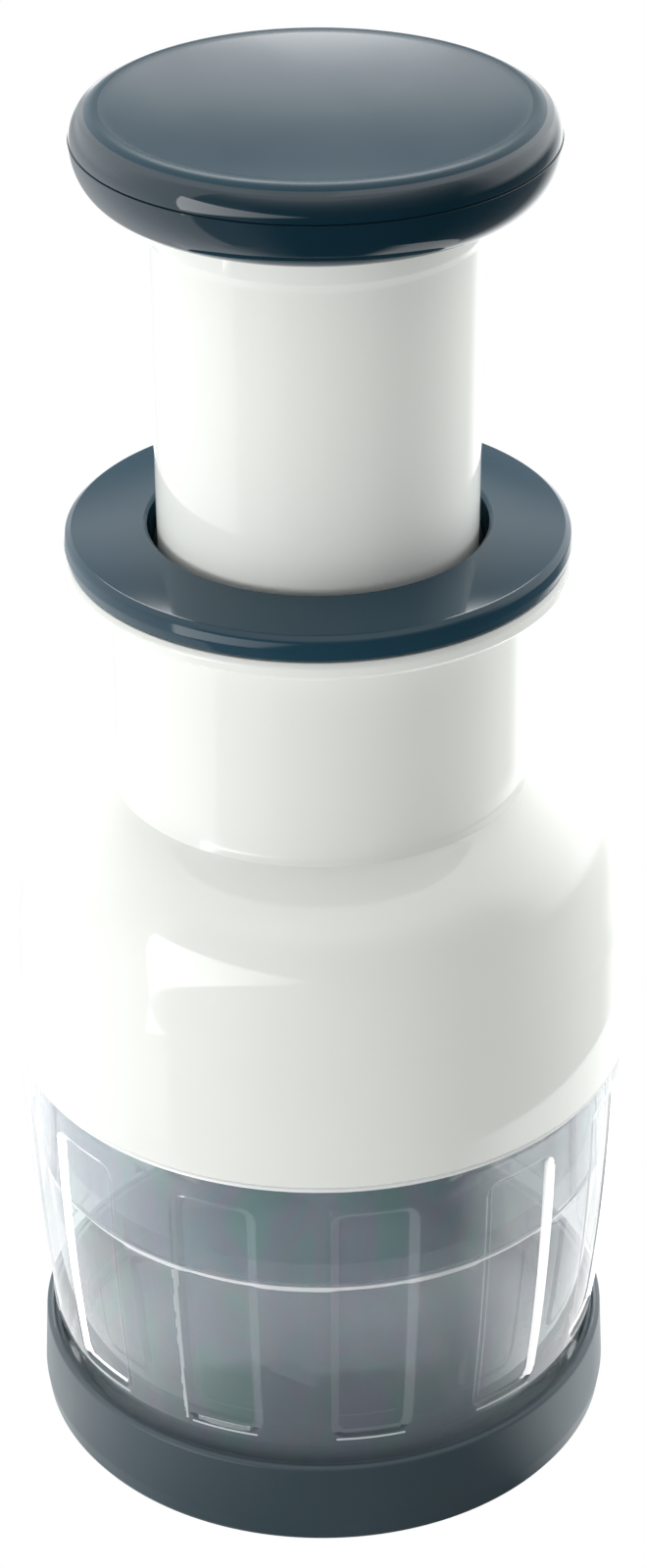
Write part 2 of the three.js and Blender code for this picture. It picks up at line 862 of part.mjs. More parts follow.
function knobBase() {
  const centre = [knobRadius - knobFlank, partingLine];
  const hatRadius = socketRadius + knobWall;
  const rimInner = knobRadius - knobWall;
  const bowl = revolve([
    [socketRadius, knobBottom],
    ...quarter(centre, knobFlank, knobDepth, down, out, flankSteps),
    [rimInner, partingLine],
    ...quarter(centre, knobFlank - knobWall, knobDepth - knobWall, bowlStart, down, innerFlankSteps),
    [hatRadius, knobBottom + knobWall],
    [hatRadius, hatBottom],
    [socketRadius, hatBottom],
  ]);
  const hat = cylinder(hatRadius, hatBottom, hatTop, roundSteps);
  return cut(join(bowl, hat), screwHoles(screwHole, hatBottom - overrun, hatTop + overrun));
}

function knobCap() {
  const crown = [knobRadius - capInset - capFlank, capBottom];
  const crest = capBottom + capHeight + capCrest;
  const spigotOuter = knobRadius - knobWall - fit;
  const dish = new THREE.QuadraticBezierCurve(
    new THREE.Vector2(crestRadius, crest),
    new THREE.Vector2(crestRadius / 2, crest - dishDepth),
    new THREE.Vector2(0, crest - dishDepth),
  );
  const top = curvePoints(dish, dishSteps);
  const under = top.map(([r, z]) => [r, z - capWall]).reverse();
  return revolve([
    ...under,
    [spigotOuter - capSpigotWall, capBottom],
    [spigotOuter - capSpigotWall, capBottom - knobRim],
    [spigotOuter, capBottom - knobRim],
    [spigotOuter, capBottom],
    ...quarter(crown, capFlank, capHeight, out, up, flankSteps),
    ...top,
  ]);
}

// Screws, head down or head up

function screw(headDown) {
  const sign = headDown ? 1 : -1;
  const profile = [
    [0, -sign * screwHeadHeight],
    [screwHead - screwDome, -sign * screwHeadHeight],
    [screwHead, -sign * (screwHeadHeight - screwDome)],
    [screwHead, 0],
    [screwShank, 0],
    [screwShank, sign * screwLength],
    [0, sign * screwLength],
  ];
  return revolve(headDown ? profile : profile.reverse(), smallSteps);
}

const chopper = new THREE.Group();

function add(name, solid, look) {
  const mesh = new THREE.Mesh(asGeometry(solid), look);
  mesh.name = name;
  chopper.add(mesh);
  return mesh;
}

add('base_cap', baseCap(), matteTeal);
add('container', container(), clearPlastic);
add('housing', housing(), whitePlastic);
add('collar_ring', collarRing(), glossTeal);
add('guide_bush', guideBush(), naturalPlastic);
add('blade_guard', bladeGuard(), clearPlastic);
add('guard_column', guardColumn(), naturalPlastic);
add('main_spring', mainSpring(), steel);
add('spring_cap', springCap(), naturalPlastic);
add('plunger_tube', plungerTube(), whitePlastic);
add('blade_holder', bladeHolder(), naturalPlastic);
add('blade_clamp', bladeClamp(), naturalPlastic);
add('knob_base', knobBase(), glossTeal);
add('knob_cap', knobCap(), satinTeal);
for (const [name, line] of Object.entries(bladeLines)) add(name, blade(line), steel);

for (let i = 0; i < bossCount; i += 1) {
  const angle = THREE.MathUtils.degToRad(bossOffsetDegrees + i * 360 / bossCount);
  const x = bossCircle * Math.cos(angle);
  const y = bossCircle * Math.sin(angle);
  add(`clamp_screw_${i + 1}`, screw(true), steel).position.set(x, y, counterboreTop - fit);
  add(`knob_screw_${i + 1}`, screw(false), steel).position.set(x, y, hatTop + fit);
}

export default chopper;
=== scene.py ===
# %% [markdown]
# # A press-down vegetable chopper
#
# The chopper stands on a dark cup. A clear, panelled container sits in the cup, a white housing
# sits on the container, and a white tube with a palm knob slides down through a dark ring.
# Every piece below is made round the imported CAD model, which is loaded first and never moved.
# Lengths are written in millimetres, because that is how a maker thinks of this object.

# %% Load the frame
import math

import bmesh
import bpy
from mathutils import Matrix, Vector


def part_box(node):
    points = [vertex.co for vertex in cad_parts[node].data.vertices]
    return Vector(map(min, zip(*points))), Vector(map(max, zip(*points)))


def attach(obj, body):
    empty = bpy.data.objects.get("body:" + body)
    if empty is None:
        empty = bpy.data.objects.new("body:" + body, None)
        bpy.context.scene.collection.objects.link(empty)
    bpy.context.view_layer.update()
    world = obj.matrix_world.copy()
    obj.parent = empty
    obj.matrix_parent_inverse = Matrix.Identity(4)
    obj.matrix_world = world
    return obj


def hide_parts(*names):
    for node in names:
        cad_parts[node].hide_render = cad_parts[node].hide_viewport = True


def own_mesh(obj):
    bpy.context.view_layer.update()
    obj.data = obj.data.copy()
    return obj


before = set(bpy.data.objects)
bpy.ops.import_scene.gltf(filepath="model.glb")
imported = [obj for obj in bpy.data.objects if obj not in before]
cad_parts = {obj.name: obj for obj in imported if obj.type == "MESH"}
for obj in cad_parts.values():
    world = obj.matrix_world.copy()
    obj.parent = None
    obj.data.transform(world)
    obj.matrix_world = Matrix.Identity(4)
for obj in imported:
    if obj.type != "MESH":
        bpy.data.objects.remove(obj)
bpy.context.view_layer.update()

MM = 0.001

# %% [markdown]
# ## Sizes
#
# The CAD model holds the sizes that decide how the pieces fit, so each visible piece takes its
# reach, its foot and its top from the solid that it stands for. What lies between them, such
# as a lip or a wall, is written here as a number.

# %% Sizes from the frame
def cad_size(name):
    """A CAD node's reach from the middle, its foot and its top, in millimetres."""
    low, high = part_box(name)
    return [round(length / MM, 2) for length in (high.x, low.z, high.z)]


for name in ("base_cap", "container", "housing", "knob_cap"):
    print(name, "reach, foot and top:", cad_size(name))

# %% [markdown]
# ## The camera
#
# The photograph looks down at the chopper from about thirty degrees, with a long lens from
# about 0.6 m away, so the tall tool narrows towards its foot. The place, tilt and lens come
# from fitting the circles of the knob, the ring and the cup. The picture is 658 by 1600, and
# the lens is counted over its long side.

# %% Camera
camera_place = Vector((0.37, -491.1, 391.05)) * MM
camera_pitch = math.radians(30.113)
camera_roll = math.radians(-0.375)
camera_lens = 89.13
sensor_side = 36


def placed(name, data):
    """A new object in the scene."""
    thing = bpy.data.objects.new(name, data)
    bpy.context.scene.collection.objects.link(thing)
    return thing


camera_data = bpy.data.cameras.new("photo_camera")
camera_data.lens = camera_lens
camera_data.sensor_width = sensor_side
camera_data.sensor_fit = "AUTO"
camera = placed("photo_camera", camera_data)
pitched = Matrix.Rotation(math.pi / 2 - camera_pitch, 4, "X")
rolled = Matrix.Rotation(camera_roll, 4, "Z")
camera.matrix_world = Matrix.Translation(camera_place) @ pitched @ rolled
bpy.context.scene.camera = camera
print("camera is", round(camera_place.length, 3), "m from the foot of the chopper")

# %% [markdown]
# ## The light
#
# Glossy plastic shows the studio as much as itself. The knob's rim has a bright, sharp band on
# the left, a dark front and a weaker band on the right, so the studio had a large white panel on
# the left, a smaller one on the right, and nothing bright beside the camera. The knob's dish is
# brightest at the back, so a soft box hung behind. Such panels could be area lights, but a sky
# painted by direction gives the same reflections with less noise. Ramps say how bright the
# studio is all round, and from floor to ceiling.

# %% Node helpers
def feed(socket, value):
    """Puts a value or another node's result on an input."""
    if isinstance(value, bpy.types.NodeSocket):
        socket.id_data.links.new(value, socket)
    else:
        socket.default_value = value


def fed(node, **inputs):
    """Feeds the inputs of a node, which are called by their names, and gives the node back."""
    for name, value in inputs.items():
        feed(node.inputs[name.replace("_", " ")], value)
    return node


def new_node(tree, kind, **inputs):
    """A new node in a tree, with its inputs fed."""
    return fed(tree.nodes.new("ShaderNode" + kind), **inputs)


def calc(operation, *values, kind="Math"):
    """The result of a sum or a function of numbers and other nodes' results."""
    tree = next(value.id_data for value in values if isinstance(value, bpy.types.NodeSocket))
    node = new_node(tree, kind)
    node.operation = operation
    for socket, value in zip(node.inputs, values):
        feed(socket, value)
    return node.outputs[0]


def times(first, second):
    return calc("MULTIPLY", first, second)


def less(first, second):
    return calc("SUBTRACT", first, second)


def brighter(first, second):
    return calc("MAXIMUM", first, second)


def ramp(value, stops):
    """The result of a ramp over a value. Each stop is a place and a grey level or a colour."""
    node = new_node(value.id_data, "ValToRGB", Fac=value)
    while len(node.color_ramp.elements) < len(stops):
        node.color_ramp.elements.new(0.5)
    for element, (place, level) in zip(node.color_ramp.elements, stops):
        element.position = place
        element.color = (*level, 1) if isinstance(level, tuple) else (level, level, level, 1)
    return node.outputs[0]


def along(place, axis):
    """How far a place or a direction lies along one axis."""
    return new_node(place.id_data, "SeparateXYZ", Vector=place).outputs[axis]


def compass(place):
    """0 at the back, 0.25 at the left, 0.5 at the front, 0.75 at the right and 1 at the back."""
    angle = calc("ARCTAN2", along(place, "X"), along(place, "Y"))
    return calc("WRAP", times(angle, -0.5 / math.pi), 1.0, 0.0)


def seen_directly(tree):
    """1 for what the camera sees, also through a clear wall, and 0 for what is only lit by it."""
    rays = new_node(tree, "LightPath").outputs
    return brighter(rays["Is Camera Ray"], rays["Is Transmission Ray"])


print("helpers for nodes are ready")

# %% How bright the studio is
# Round the chopper, in the scale of the compass, above and below eye level
upper_levels = [
    (0.00, 0.08), (0.03, 0.30), (0.06, 0.70), (0.15, 0.95), (0.20, 1.00), (0.26, 0.80), (0.333, 0.70),
    (0.338, 0.20), (0.40, 0.17), (0.45, 0.03), (0.50, 0.015), (0.68, 0.01), (0.72, 0.20), (0.76, 0.70),
    (0.82, 1.00), (0.90, 1.10), (0.95, 0.80), (0.98, 0.30), (1.00, 0.08),
]
lower_levels = [
    (0.00, 0.80), (0.03, 0.80), (0.06, 0.35), (0.15, 0.70), (0.20, 0.80), (0.26, 0.80), (0.333, 0.65),
    (0.338, 0.20), (0.40, 0.17), (0.45, 0.03), (0.50, 0.015), (0.68, 0.01), (0.76, 0.05), (0.86, 0.14),
    (0.90, 0.60), (0.94, 0.95), (0.97, 0.70), (1.00, 0.80),
]
# From straight down (0) over level (0.5) to straight up (1)
eye_level = [(0.47, 0.0), (0.53, 1.0)]
height_levels = [(0.0, 0.8), (0.42, 1.0), (0.62, 1.0), (0.80, 0.9), (1.0, 0.9)]
ceiling_levels = [
    (0.44, 0.0), (0.52, 0.025), (0.61, 0.08), (0.67, 0.15), (0.72, 0.26), (0.78, 0.42), (0.83, 0.75),
    (1.0, 0.8),
]
studio_strength = 2.2
print("studio:", len(upper_levels), "steps above eye level,", len(lower_levels), "below")

# %% The wedge, the soft box and the white surfaces
# The panel on the left reaches round to the front as a low wedge: its middle and its
# half height at the panel, on the scale of heights, and its length on that of the compass
wedge_middle, wedge_half, wedge_length = 0.49, 0.125, 0.18
wedge_sharpness = 120
wedge_strength = 2.6
wedge_fade_end = 0.52
# The soft box hangs behind, above the camera's line of sight. A faint glow hangs below it,
# which the flat top of the ring mirrors.
box_round = [(0.0, 1.1), (0.045, 1.0), (0.085, 0.0), (0.915, 0.0), (0.955, 1.0), (1.0, 1.1)]
box_height = [
    (0.58, 0.0), (0.62, 0.04), (0.645, 0.105), (0.662, 0.08), (0.69, 0.03), (0.71, 1.0), (0.78, 1.0),
    (0.83, 0.0),
]
box_strength = 6.4
# White surfaces are lit less from above and from behind than glossy ones mirror there, and
# more from below on the right, or the shoulder would be washed out
ceiling_loss = 0.68
upper_loss = [
    (0.0, 0.8), (0.10, 0.7), (0.20, 0.45), (0.28, 0.35), (0.36, 0.0), (0.62, 0.0), (0.74, 0.1),
    (0.84, 0.4), (0.90, 0.8), (1.0, 0.8),
]
lower_gain = [(0.0, 0.2), (0.62, 0.0), (0.74, 0.5), (0.90, 0.6), (1.0, 0.2)]
print("the soft box is", round(box_strength * studio_strength, 1), "times as bright as white paper")

# %% Sky
world = bpy.data.worlds.new("studio")
world.use_nodes = True
bpy.context.scene.world = world
bpy.context.scene.view_settings.view_transform = "Standard"
sky = world.node_tree
sky.nodes.clear()
direction = new_node(sky, "TexCoord").outputs["Generated"]
around = compass(direction)
rise = calc("ARCSINE", along(direction, "Z"))
height = calc("ADD", calc("DIVIDE", rise, math.pi), 0.5)
diffuse = new_node(sky, "LightPath").outputs["Is Diffuse Ray"]


def kept(loss):
    """The share of the light that white surfaces keep after a loss. Gloss keeps all of it."""
    return less(1.0, times(diffuse, loss))


gain = times(diffuse, ramp(around, lower_gain))
below = calc("ADD", ramp(around, lower_levels), gain)
above = times(ramp(around, upper_levels), kept(ramp(around, upper_loss)))
halves = new_node(sky, "Mix", Factor=ramp(height, eye_level), A=below, B=above)
panels = times(halves.outputs["Result"], ramp(height, height_levels))
soft_box = times(times(ramp(around, box_round), ramp(height, box_height)), box_strength)
overhead = times(brighter(ramp(height, ceiling_levels), soft_box), kept(ceiling_loss))

wedge_reach = times(less(0.5, around), wedge_half / wedge_length)
off_middle = calc("ABSOLUTE", less(height, wedge_middle))
wedge = times(less(wedge_reach, off_middle), wedge_sharpness)
wedge.node.use_clamp = True
wedge = times(wedge, calc("GREATER_THAN", around, 0.5 - wedge_length))
wedge = times(wedge, times(less(wedge_fade_end, around), wedge_strength / wedge_length))

level = times(brighter(brighter(panels, overhead), wedge), studio_strength)
shown = brighter(level, seen_directly(sky))
background = new_node(sky, "Background", Color=(1, 1, 1, 1), Strength=shown)
new_node(sky, "OutputWorld", Surface=background.outputs[0])
print("sky:", len(sky.nodes), "nodes")

# %% Lamps
lamp_aim = Vector((0, 0, 0.1))


def fill_light(name, place, size, power):
    """A big soft light that brightens surfaces but isn't mirrored in the gloss."""
    data = bpy.data.lights.new(name, "AREA")
    data.size = size
    data.energy = power
    light = placed(name, data)
    light.location = place
    light.rotation_euler = (lamp_aim - Vector(place)).to_track_quat("-Z", "Y").to_euler()
    light.visible_glossy = False
    light.visible_transmission = False
    print(name, "has", power, "W")


fill_light("fill_left", (-0.66, -0.78, 0.20), 0.7, 1.5)
fill_light("fill_right", (0.80, 0.55, 0.04), 0.6, 7.8)

# %% [markdown]
# ## The floor
#
# The product was photographed on a lit white table and shows no shadow. The floor glows evenly
# where the camera sees it. Gloss doesn't see it at all, but the studio below it, because the
# bowl of the knob and the foot reflect a dark room in front and bright panels at the sides, and a
# light that depends on direction alone gives that at every height. Only close to the foot does
# gloss see the table: dark in front, bright from the sides to the back.

# %% Floor
floor_half = 3000
table_glow = 0.75
near_radius, near_corners = 140, 64
near_levels = [(0.0, 1.1), (0.30, 1.6), (0.41, 0.3), (0.47, 0.03), (0.62, 0.03), (0.68, 1.8), (1.0, 1.1)]


def table_sheet(name, corners, paper_name):
    """A flat sheet of glowing paper, its nodes and its shader, which lacks only the strength."""
    mesh = bpy.data.meshes.new(name)
    mesh.from_pydata([(x * MM, y * MM, 0) for x, y in corners], [], [tuple(range(len(corners)))])
    paper = bpy.data.materials.new(paper_name)
    paper.use_nodes = True
    mesh.materials.append(paper)
    sheet = placed(name, mesh)
    sheet.visible_shadow = False
    tree = paper.node_tree
    glow = fed(
        tree.nodes["Principled BSDF"],
        Base_Color=(0, 0, 0, 1), Specular_IOR_Level=0.0, Emission_Color=(1, 1, 1, 1),
    )
    return sheet, tree, glow


square = [(x * floor_half, y * floor_half) for x, y in ((-1, -1), (1, -1), (1, 1), (-1, 1))]
floor, tree, glow = table_sheet("floor", square, "white_paper")
fed(glow, Emission_Strength=brighter(seen_directly(tree), table_glow))
floor.visible_glossy = False

turns = [2 * math.pi * k / near_corners for k in range(near_corners)]
circle = [(near_radius * math.cos(a), near_radius * math.sin(a)) for a in turns]
near_table, tree, glow = table_sheet("near_table", circle, "near_paper")
bearing = compass(new_node(tree, "TexCoord").outputs["Object"])
fed(glow, Emission_Strength=ramp(bearing, near_levels))
near_table.visible_camera = False
near_table.visible_diffuse = False
near_table.visible_transmission = False
print("floor:", 2 * floor_half, "mm wide, near table:", 2 * near_radius, "mm")

# %% [markdown]
# ## Tools for turned pieces
#
# Nearly every piece here is round, as things that slide and turn in each other are. In the
# factory they are moulded, but their shape is that of a lathe: half an outline, turned about
# the middle. A Screw modifier could do it. Here the rings of points are made directly, because
# then one function also lets the radius change with the angle, which the panels need.
# Sharp corners don't exist on mouldings, so each corner can be given a small rounding.

# %% Outline tools
def rounded(corners, steps=5, closed=True):
    """An outline from (radius, height, rounding) corners. The ends of an open one stay sharp."""
    outline = []
    count = len(corners)
    for i, (r, z, *more) in enumerate(corners):
        here = Vector((r, z))
        if not more or (not closed and i in (0, count - 1)):
            outline.append((r, z))
            continue
        before = Vector(corners[i - 1][:2]) - here
        after = Vector(corners[(i + 1) % count][:2]) - here
        half = before.angle(after) / 2
        reach = min(more[0] / math.tan(half), before.length * 0.49, after.length * 0.49)
        radius = reach * math.tan(half)
        start = here + before.normalized() * reach
        end = here + after.normalized() * reach
        centre = here + (before.normalized() + after.normalized()).normalized() * (radius / math.sin(half))
        for k in range(steps + 1):
            blend = (start - centre).lerp(end - centre, k / steps).normalized() * radius
            outline.append(tuple(centre + blend))
    return outline


def run(*corners):
    """A stretch of outline between two other stretches, its own ends included."""
    return rounded(corners, closed=False)


def arc(centre, width, height, start, end, steps=14):
    """Part of an ellipse, between two directions in degrees."""
    turns = [math.radians(start + (end - start) * k / steps) for k in range(steps + 1)]
    return [(centre[0] + width * math.cos(a), centre[1] + height * math.sin(a)) for a in turns]


def bezier(*points, steps=24):
    """A smooth curve through three or four control points."""
    degree = len(points) - 1
    curve = []
    for k in range(steps + 1):
        t = k / steps
        weights = [math.comb(degree, i) * t ** i * (1 - t) ** (degree - i) for i in range(degree + 1)]
        curve.append(tuple(sum(w * p[axis] for w, p in zip(weights, points)) for axis in (0, 1)))
    return curve


def from_rim(reach, top, *corners):
    """Corners that are given by how far they lie in from the rim and down from the top."""
    return [(reach - inset, top - drop, rounding) for inset, drop, rounding in corners]


print("a rounded corner has", len(rounded([(0, 0), (1, 0, 0.2), (1, 1)])) - 2, "points")

# %% Turning and dressing
round_steps = 192
weld = 0.0005


def mesh_object(name, shape):
    """An object from a bmesh in millimetres, with its faces turned outwards."""
    bmesh.ops.remove_doubles(shape, verts=shape.verts, dist=weld)
    bmesh.ops.recalc_face_normals(shape, faces=shape.faces)
    bmesh.ops.scale(shape, vec=(MM, MM, MM), verts=shape.verts)
    mesh = bpy.data.meshes.new(name)
    shape.to_mesh(mesh)
    shape.free()
    return placed(name, mesh)


def skin(shape, rings):
    """Faces between each ring of points and the next one."""
    for one, other in zip(rings, rings[1:]):
        for k in range(len(one)):
            n = (k + 1) % len(one)
            shape.faces.new((one[k], one[n], other[n], other[k]))


def turned(name, outline, steps=round_steps, radius_at=lambda angle, r, z: r, angles=None):
    """A closed outline of (radius, height) points turned about the middle."""
    shape = bmesh.new()
    angles = angles or [2 * math.pi * k / steps for k in range(steps)]
    rings = []
    for r, z in outline:
        reaches = [radius_at(a, r, z) for a in angles]
        places = [(reach * math.sin(a), -reach * math.cos(a), z) for reach, a in zip(reaches, angles)]
        rings.append([shape.verts.new(place) for place in places])
    for i, ring in enumerate(rings):
        following = (i + 1) % len(rings)
        if max(outline[i][0], outline[following][0]) > 1e-6:
            skin(shape, (ring, rings[following]))
    bmesh.ops.remove_doubles(shape, verts=shape.verts, dist=weld)
    bmesh.ops.dissolve_degenerate(shape, edges=shape.edges, dist=weld)
    return mesh_object(name, shape)


def smooth(piece, edge=35):
    """Smooth shading, with edges kept sharp where the surface bends by more than so many degrees."""
    piece.data.shade_smooth()
    piece.data.set_sharp_from_angle(angle=math.radians(edge))
    return piece


def dress(piece, material, body, node):
    """Gives a finished piece its finish and the body that it moves with, and hides the CAD node it stands
    for.
    """
    piece.data.materials.clear()
    piece.data.materials.append(material)
    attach(piece, body)
    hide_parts(node)
    print(piece.name, "has", len(piece.data.vertices), "points")


print("turned pieces have", round_steps, "steps round")

# %% [markdown]
# ## Finishes
#
# All of the plastics share one recipe: a Principled shader whose colour drifts a little, as
# pigment does in a moulding, whose gloss varies with handling, and whose surface carries the
# long, faint waves that melted plastic freezes with. What changes is the colour, the gloss and
# the grain. A moulding that was spark-eroded in its tool has a fine grain, a polished one none.

# %% Noise and bump
def new_material(name):
    """A material, its nodes, and the place of a point in the piece."""
    material = bpy.data.materials.new(name)
    material.use_nodes = True
    tree = material.node_tree
    return material, tree, new_node(tree, "TexCoord").outputs["Object"]


def noise(place, scale, detail, roughness=0.5):
    sizes = {"Scale": scale, "Detail": detail, "Roughness": roughness}
    return new_node(place.id_data, "TexNoise", Vector=place, **sizes).outputs["Fac"]


def stretched(place, scale):
    """A place drawn out or pressed together along each axis."""
    return new_node(place.id_data, "Mapping", Vector=place, Scale=scale).outputs[0]


def spread(value, low, high):
    """Maps the middle of a noise onto a range."""
    ends = {"From_Min": 0.3, "From_Max": 0.7, "To_Min": low, "To_Max": high}
    return new_node(value.id_data, "MapRange", Value=value, **ends).outputs["Result"]


def bump(value, height, **before):
    """A relief of so many millimetres, on top of the Normal of one before it."""
    made = new_node(value.id_data, "Bump", Strength=1.0, Distance=height * MM, Height=value, **before)
    return made.outputs["Normal"]


print("helpers for surfaces are ready")

# %% Plastic
pigment_scale, handling_scale, wave_scale, grain_scale = 22, 60, 90, 4000


def plastic(name, colour, gloss, drift=0.05, wave=0.02, grain=0.0, mirroring=0.5):
    """gloss is a pair of roughness values that the surface wanders between."""
    material, tree, place = new_material(name)
    pigment = ramp(noise(place, pigment_scale, 4), [
        (0.35, tuple(c * (1 - drift) for c in colour)),
        (0.65, tuple(min(c * (1 + drift), 1) for c in colour)),
    ])
    handled = spread(noise(place, handling_scale, 5), *gloss)
    relief = bump(noise(place, wave_scale, 1), wave)
    if grain:
        relief = bump(noise(place, grain_scale, 2), grain, Normal=relief)
    fed(
        tree.nodes["Principled BSDF"], Base_Color=pigment, Roughness=handled, Normal=relief,
        IOR=1.5, Specular_IOR_Level=mirroring,
    )
    print(name, "has a roughness of", gloss[0], "to", gloss[1])
    return material


white_gloss = plastic("white_gloss", (0.85, 0.87, 0.83), (0.03, 0.06), drift=0.01, wave=0.012)
gloss_teal = plastic("gloss_teal", (0.004, 0.020, 0.032), (0.04, 0.08), wave=0.012, mirroring=0.45)
ring_teal = plastic("ring_teal", (0.013, 0.045, 0.069), (0.06, 0.10), wave=0.01, mirroring=0.28)
satin_teal = plastic("satin_teal", (0.015, 0.043, 0.063), (0.20, 0.24), wave=0.0)
# The crest's finish mirrors less and is paler: painted shade on its highlight, painted light on its sides
crest_painted_teal = plastic("crest_painted_teal", (0.017, 0.046, 0.066), (0.30, 0.36), wave=0.0, mirroring=0.12)
matte_teal = plastic("matte_teal", (0.033, 0.057, 0.071), (0.38, 0.46), grain=0.02)
board_teal = plastic("board_teal", (0.046, 0.069, 0.082), (0.42, 0.50), grain=0.02)
natural_plastic = plastic("natural_plastic", (0.72, 0.71, 0.66), (0.35, 0.45), wave=0.02, grain=0.01)

# %% [markdown]
# The clear pieces are styrene: stiff, brilliant and glass-clear. The walls are thin and even, so light goes
# nearly straight through them, and what shows is the mirroring of their two faces and a milky veil. That is
# why they let light straight through instead of bending it: a bending shader draws black lines at every
# panel, which the real wall doesn't. Styrene is also strained where it froze, and strain shows as faint
# upright bands of teal, pink and violet. Where a wall is slanted or thick, it mirrors or darkens what
# stands behind it. That is painted here as a stronger veil of its own colour: painted highlights and
# painted shade. The guard inside has a dark veil, painted shade for the dark inside, where many faces stand
# behind each other.

# %% Clear wall
face_mirror, mirror_roughness = 0.05, 0.02
# Where a wall is seen at a slant, light is mirrored whole inside it; a share of flat white is laid over
# that mirror as a painted highlight
whole_mirror, painted_white_share = [(0.476, face_mirror), (0.487, 0.95)], 0.3
# How far the mirror inside the wall leans back, as rise over run: light comes down the wall too
mirror_lean = 0.9
# How far the lower edge of the veil wanders, in metres
veil_edge_wander = 0.04
strain_scale = (90, 90, 40)


def outwards(place, rise):
    """The direction straight out from the middle of the chopper, leaning up by a rise."""
    for operation, amount in (("MULTIPLY", (1, 1, 0)), ("ADD", (0, 0, rise))):
        place = calc(operation, place, amount, kind="VectorMath")
        place = calc("NORMALIZE", place, kind="VectorMath")
    return place


def mixed(share, first, second):
    """Two shaders in one, with a share of the second."""
    node = new_node(first.id_data, "MixShader", Fac=share)
    feed(node.inputs[1], first.outputs[0])
    feed(node.inputs[2], second.outputs[0])
    return node


def clear_wall(name, veil, strain_colours, slanted_mirror=False):
    """A thin clear wall: straight sight, mirroring faces, a veil and bands of strain.

    The veil is a share, or stops of a ramp over the height in tenths of a metre.
    A slanted mirror stands for light that is mirrored whole inside an upright round wall, with a share of
    flat white laid over it: a painted highlight.
    """
    material, tree, place = new_material(name)
    tree.nodes.remove(tree.nodes["Principled BSDF"])
    sight = new_node(tree, "BsdfTransparent", Color=(0.97, 0.98, 0.98, 1))
    strain = noise(stretched(place, strain_scale), 1.0, 1)
    haze = new_node(tree, "BsdfDiffuse", Color=ramp(strain, strain_colours))
    mirror = new_node(tree, "BsdfGlossy", Color=(1, 1, 1, 1), Roughness=mirror_roughness)
    slant = new_node(tree, "LayerWeight", Blend=0.5)
    facing = slant.outputs["Facing"]
    if slanted_mirror:
        fed(mirror, Normal=outwards(place, mirror_lean))
        fed(slant, Normal=outwards(place, 0.0))
        mirrored = ramp(facing, whole_mirror)
        # Flat white laid over the mirror: a painted highlight on the slopes
        painted_white = new_node(tree, "BsdfDiffuse", Color=(0.97, 0.97, 0.97, 1))
        mirror = mixed(painted_white_share, mirror, painted_white)
    else:
        fed(mirror, Normal=bump(noise(place, 70, 1), 0.006))
        mirrored = calc("POWER", facing, 5)
        mirrored = calc("MULTIPLY_ADD", mirrored, 1 - face_mirror, face_mirror)
    if isinstance(veil, list):
        wander = noise(place, 90, 6, 0.62)
        level = calc("MULTIPLY_ADD", wander, veil_edge_wander, along(place, "Z"))
        veil = ramp(times(level, 10), veil)
    finished = mixed(mirrored, mixed(veil, sight, haze), mirror)
    fed(tree.nodes["Material Output"], Surface=finished.outputs[0])
    print(name, "has", len(tree.nodes), "nodes")
    return material


# %% Clear finishes
strain_bands = [
    (0.34, (0.38, 0.60, 0.58)), (0.42, (0.56, 0.51, 0.66)), (0.48, (0.42, 0.56, 0.63)),
    (0.54, (0.56, 0.53, 0.60)), (0.60, (0.36, 0.60, 0.56)), (0.66, (0.53, 0.52, 0.65)),
]
# The veil is thinner below an uneven line at about 30 mm: painted shade, so the wall shows darker below
# that line and lighter above it
container_veil_and_shade = [(0.30, 0.08), (0.500, 0.075), (0.503, 0.125), (0.70, 0.115), (0.86, 0.125)]
clear_plastic = clear_wall("clear_plastic", container_veil_and_shade, strain_bands)
clear_slope = clear_wall("clear_slope", container_veil_and_shade, strain_bands, slanted_mirror=True)
# Painted highlights and painted shade: veils of their own colour, laid on the container face by face
painted_highlight_veil = clear_wall("painted_highlight_veil", 0.97, [(0.4, (0.95, 0.96, 0.96)), (0.6, (0.96, 0.96, 0.97))])
painted_shade_slope = clear_wall("painted_shade_slope", 0.55, [(0.4, (0.05, 0.07, 0.08)), (0.6, (0.06, 0.08, 0.09))])
painted_highlight_line = clear_wall("painted_highlight_line", 0.75, [(0.4, (0.62, 0.66, 0.69)), (0.6, (0.66, 0.70, 0.72))])
# The guard's dark veil is painted shade
guard_plastic_painted_shade = clear_wall("guard_plastic_painted_shade", 0.30, [(0.4, (0.10, 0.17, 0.19)), (0.6, (0.12, 0.17, 0.22))])


# %% Steel
def steel(name, colour, roughness, brush_scale):
    """Steel with fine lines left by rolling or grinding."""
    material, tree, place = new_material(name)
    lines = noise(stretched(place, brush_scale), 1.0, 3)
    shade = ramp(lines, [(0.3, tuple(c * 0.85 for c in colour)), (0.7, colour)])
    fed(
        tree.nodes["Principled BSDF"], Metallic=1.0, Base_Color=shade,
        Roughness=spread(lines, *roughness), Normal=bump(lines, 0.01),
    )
    print(name, "has a roughness of", roughness[0], "to", roughness[1])
    return material


blade_steel = steel("blade_steel", (0.66, 0.67, 0.68), (0.16, 0.28), (300, 300, 9000))
spring_steel = steel("spring_steel", (0.52, 0.53, 0.54), (0.2, 0.32), (4000, 4000, 4000))
screw_steel = steel("screw_steel", (0.58, 0.59, 0.60), (0.2, 0.3), (5000, 5000, 600))

# %% [markdown]
# ## Base cap
#
# The dark cup is the foot of the chopper and its chopping board. Its lip is stepped: the
# outer edge is rounded for the hand, and a lower inner edge meets the container, which is why
# two thin light lines run round it. The outside is fine-grained, so it never shines. The
# board is a little paler and duller, and the container's foot stands in a channel round it.

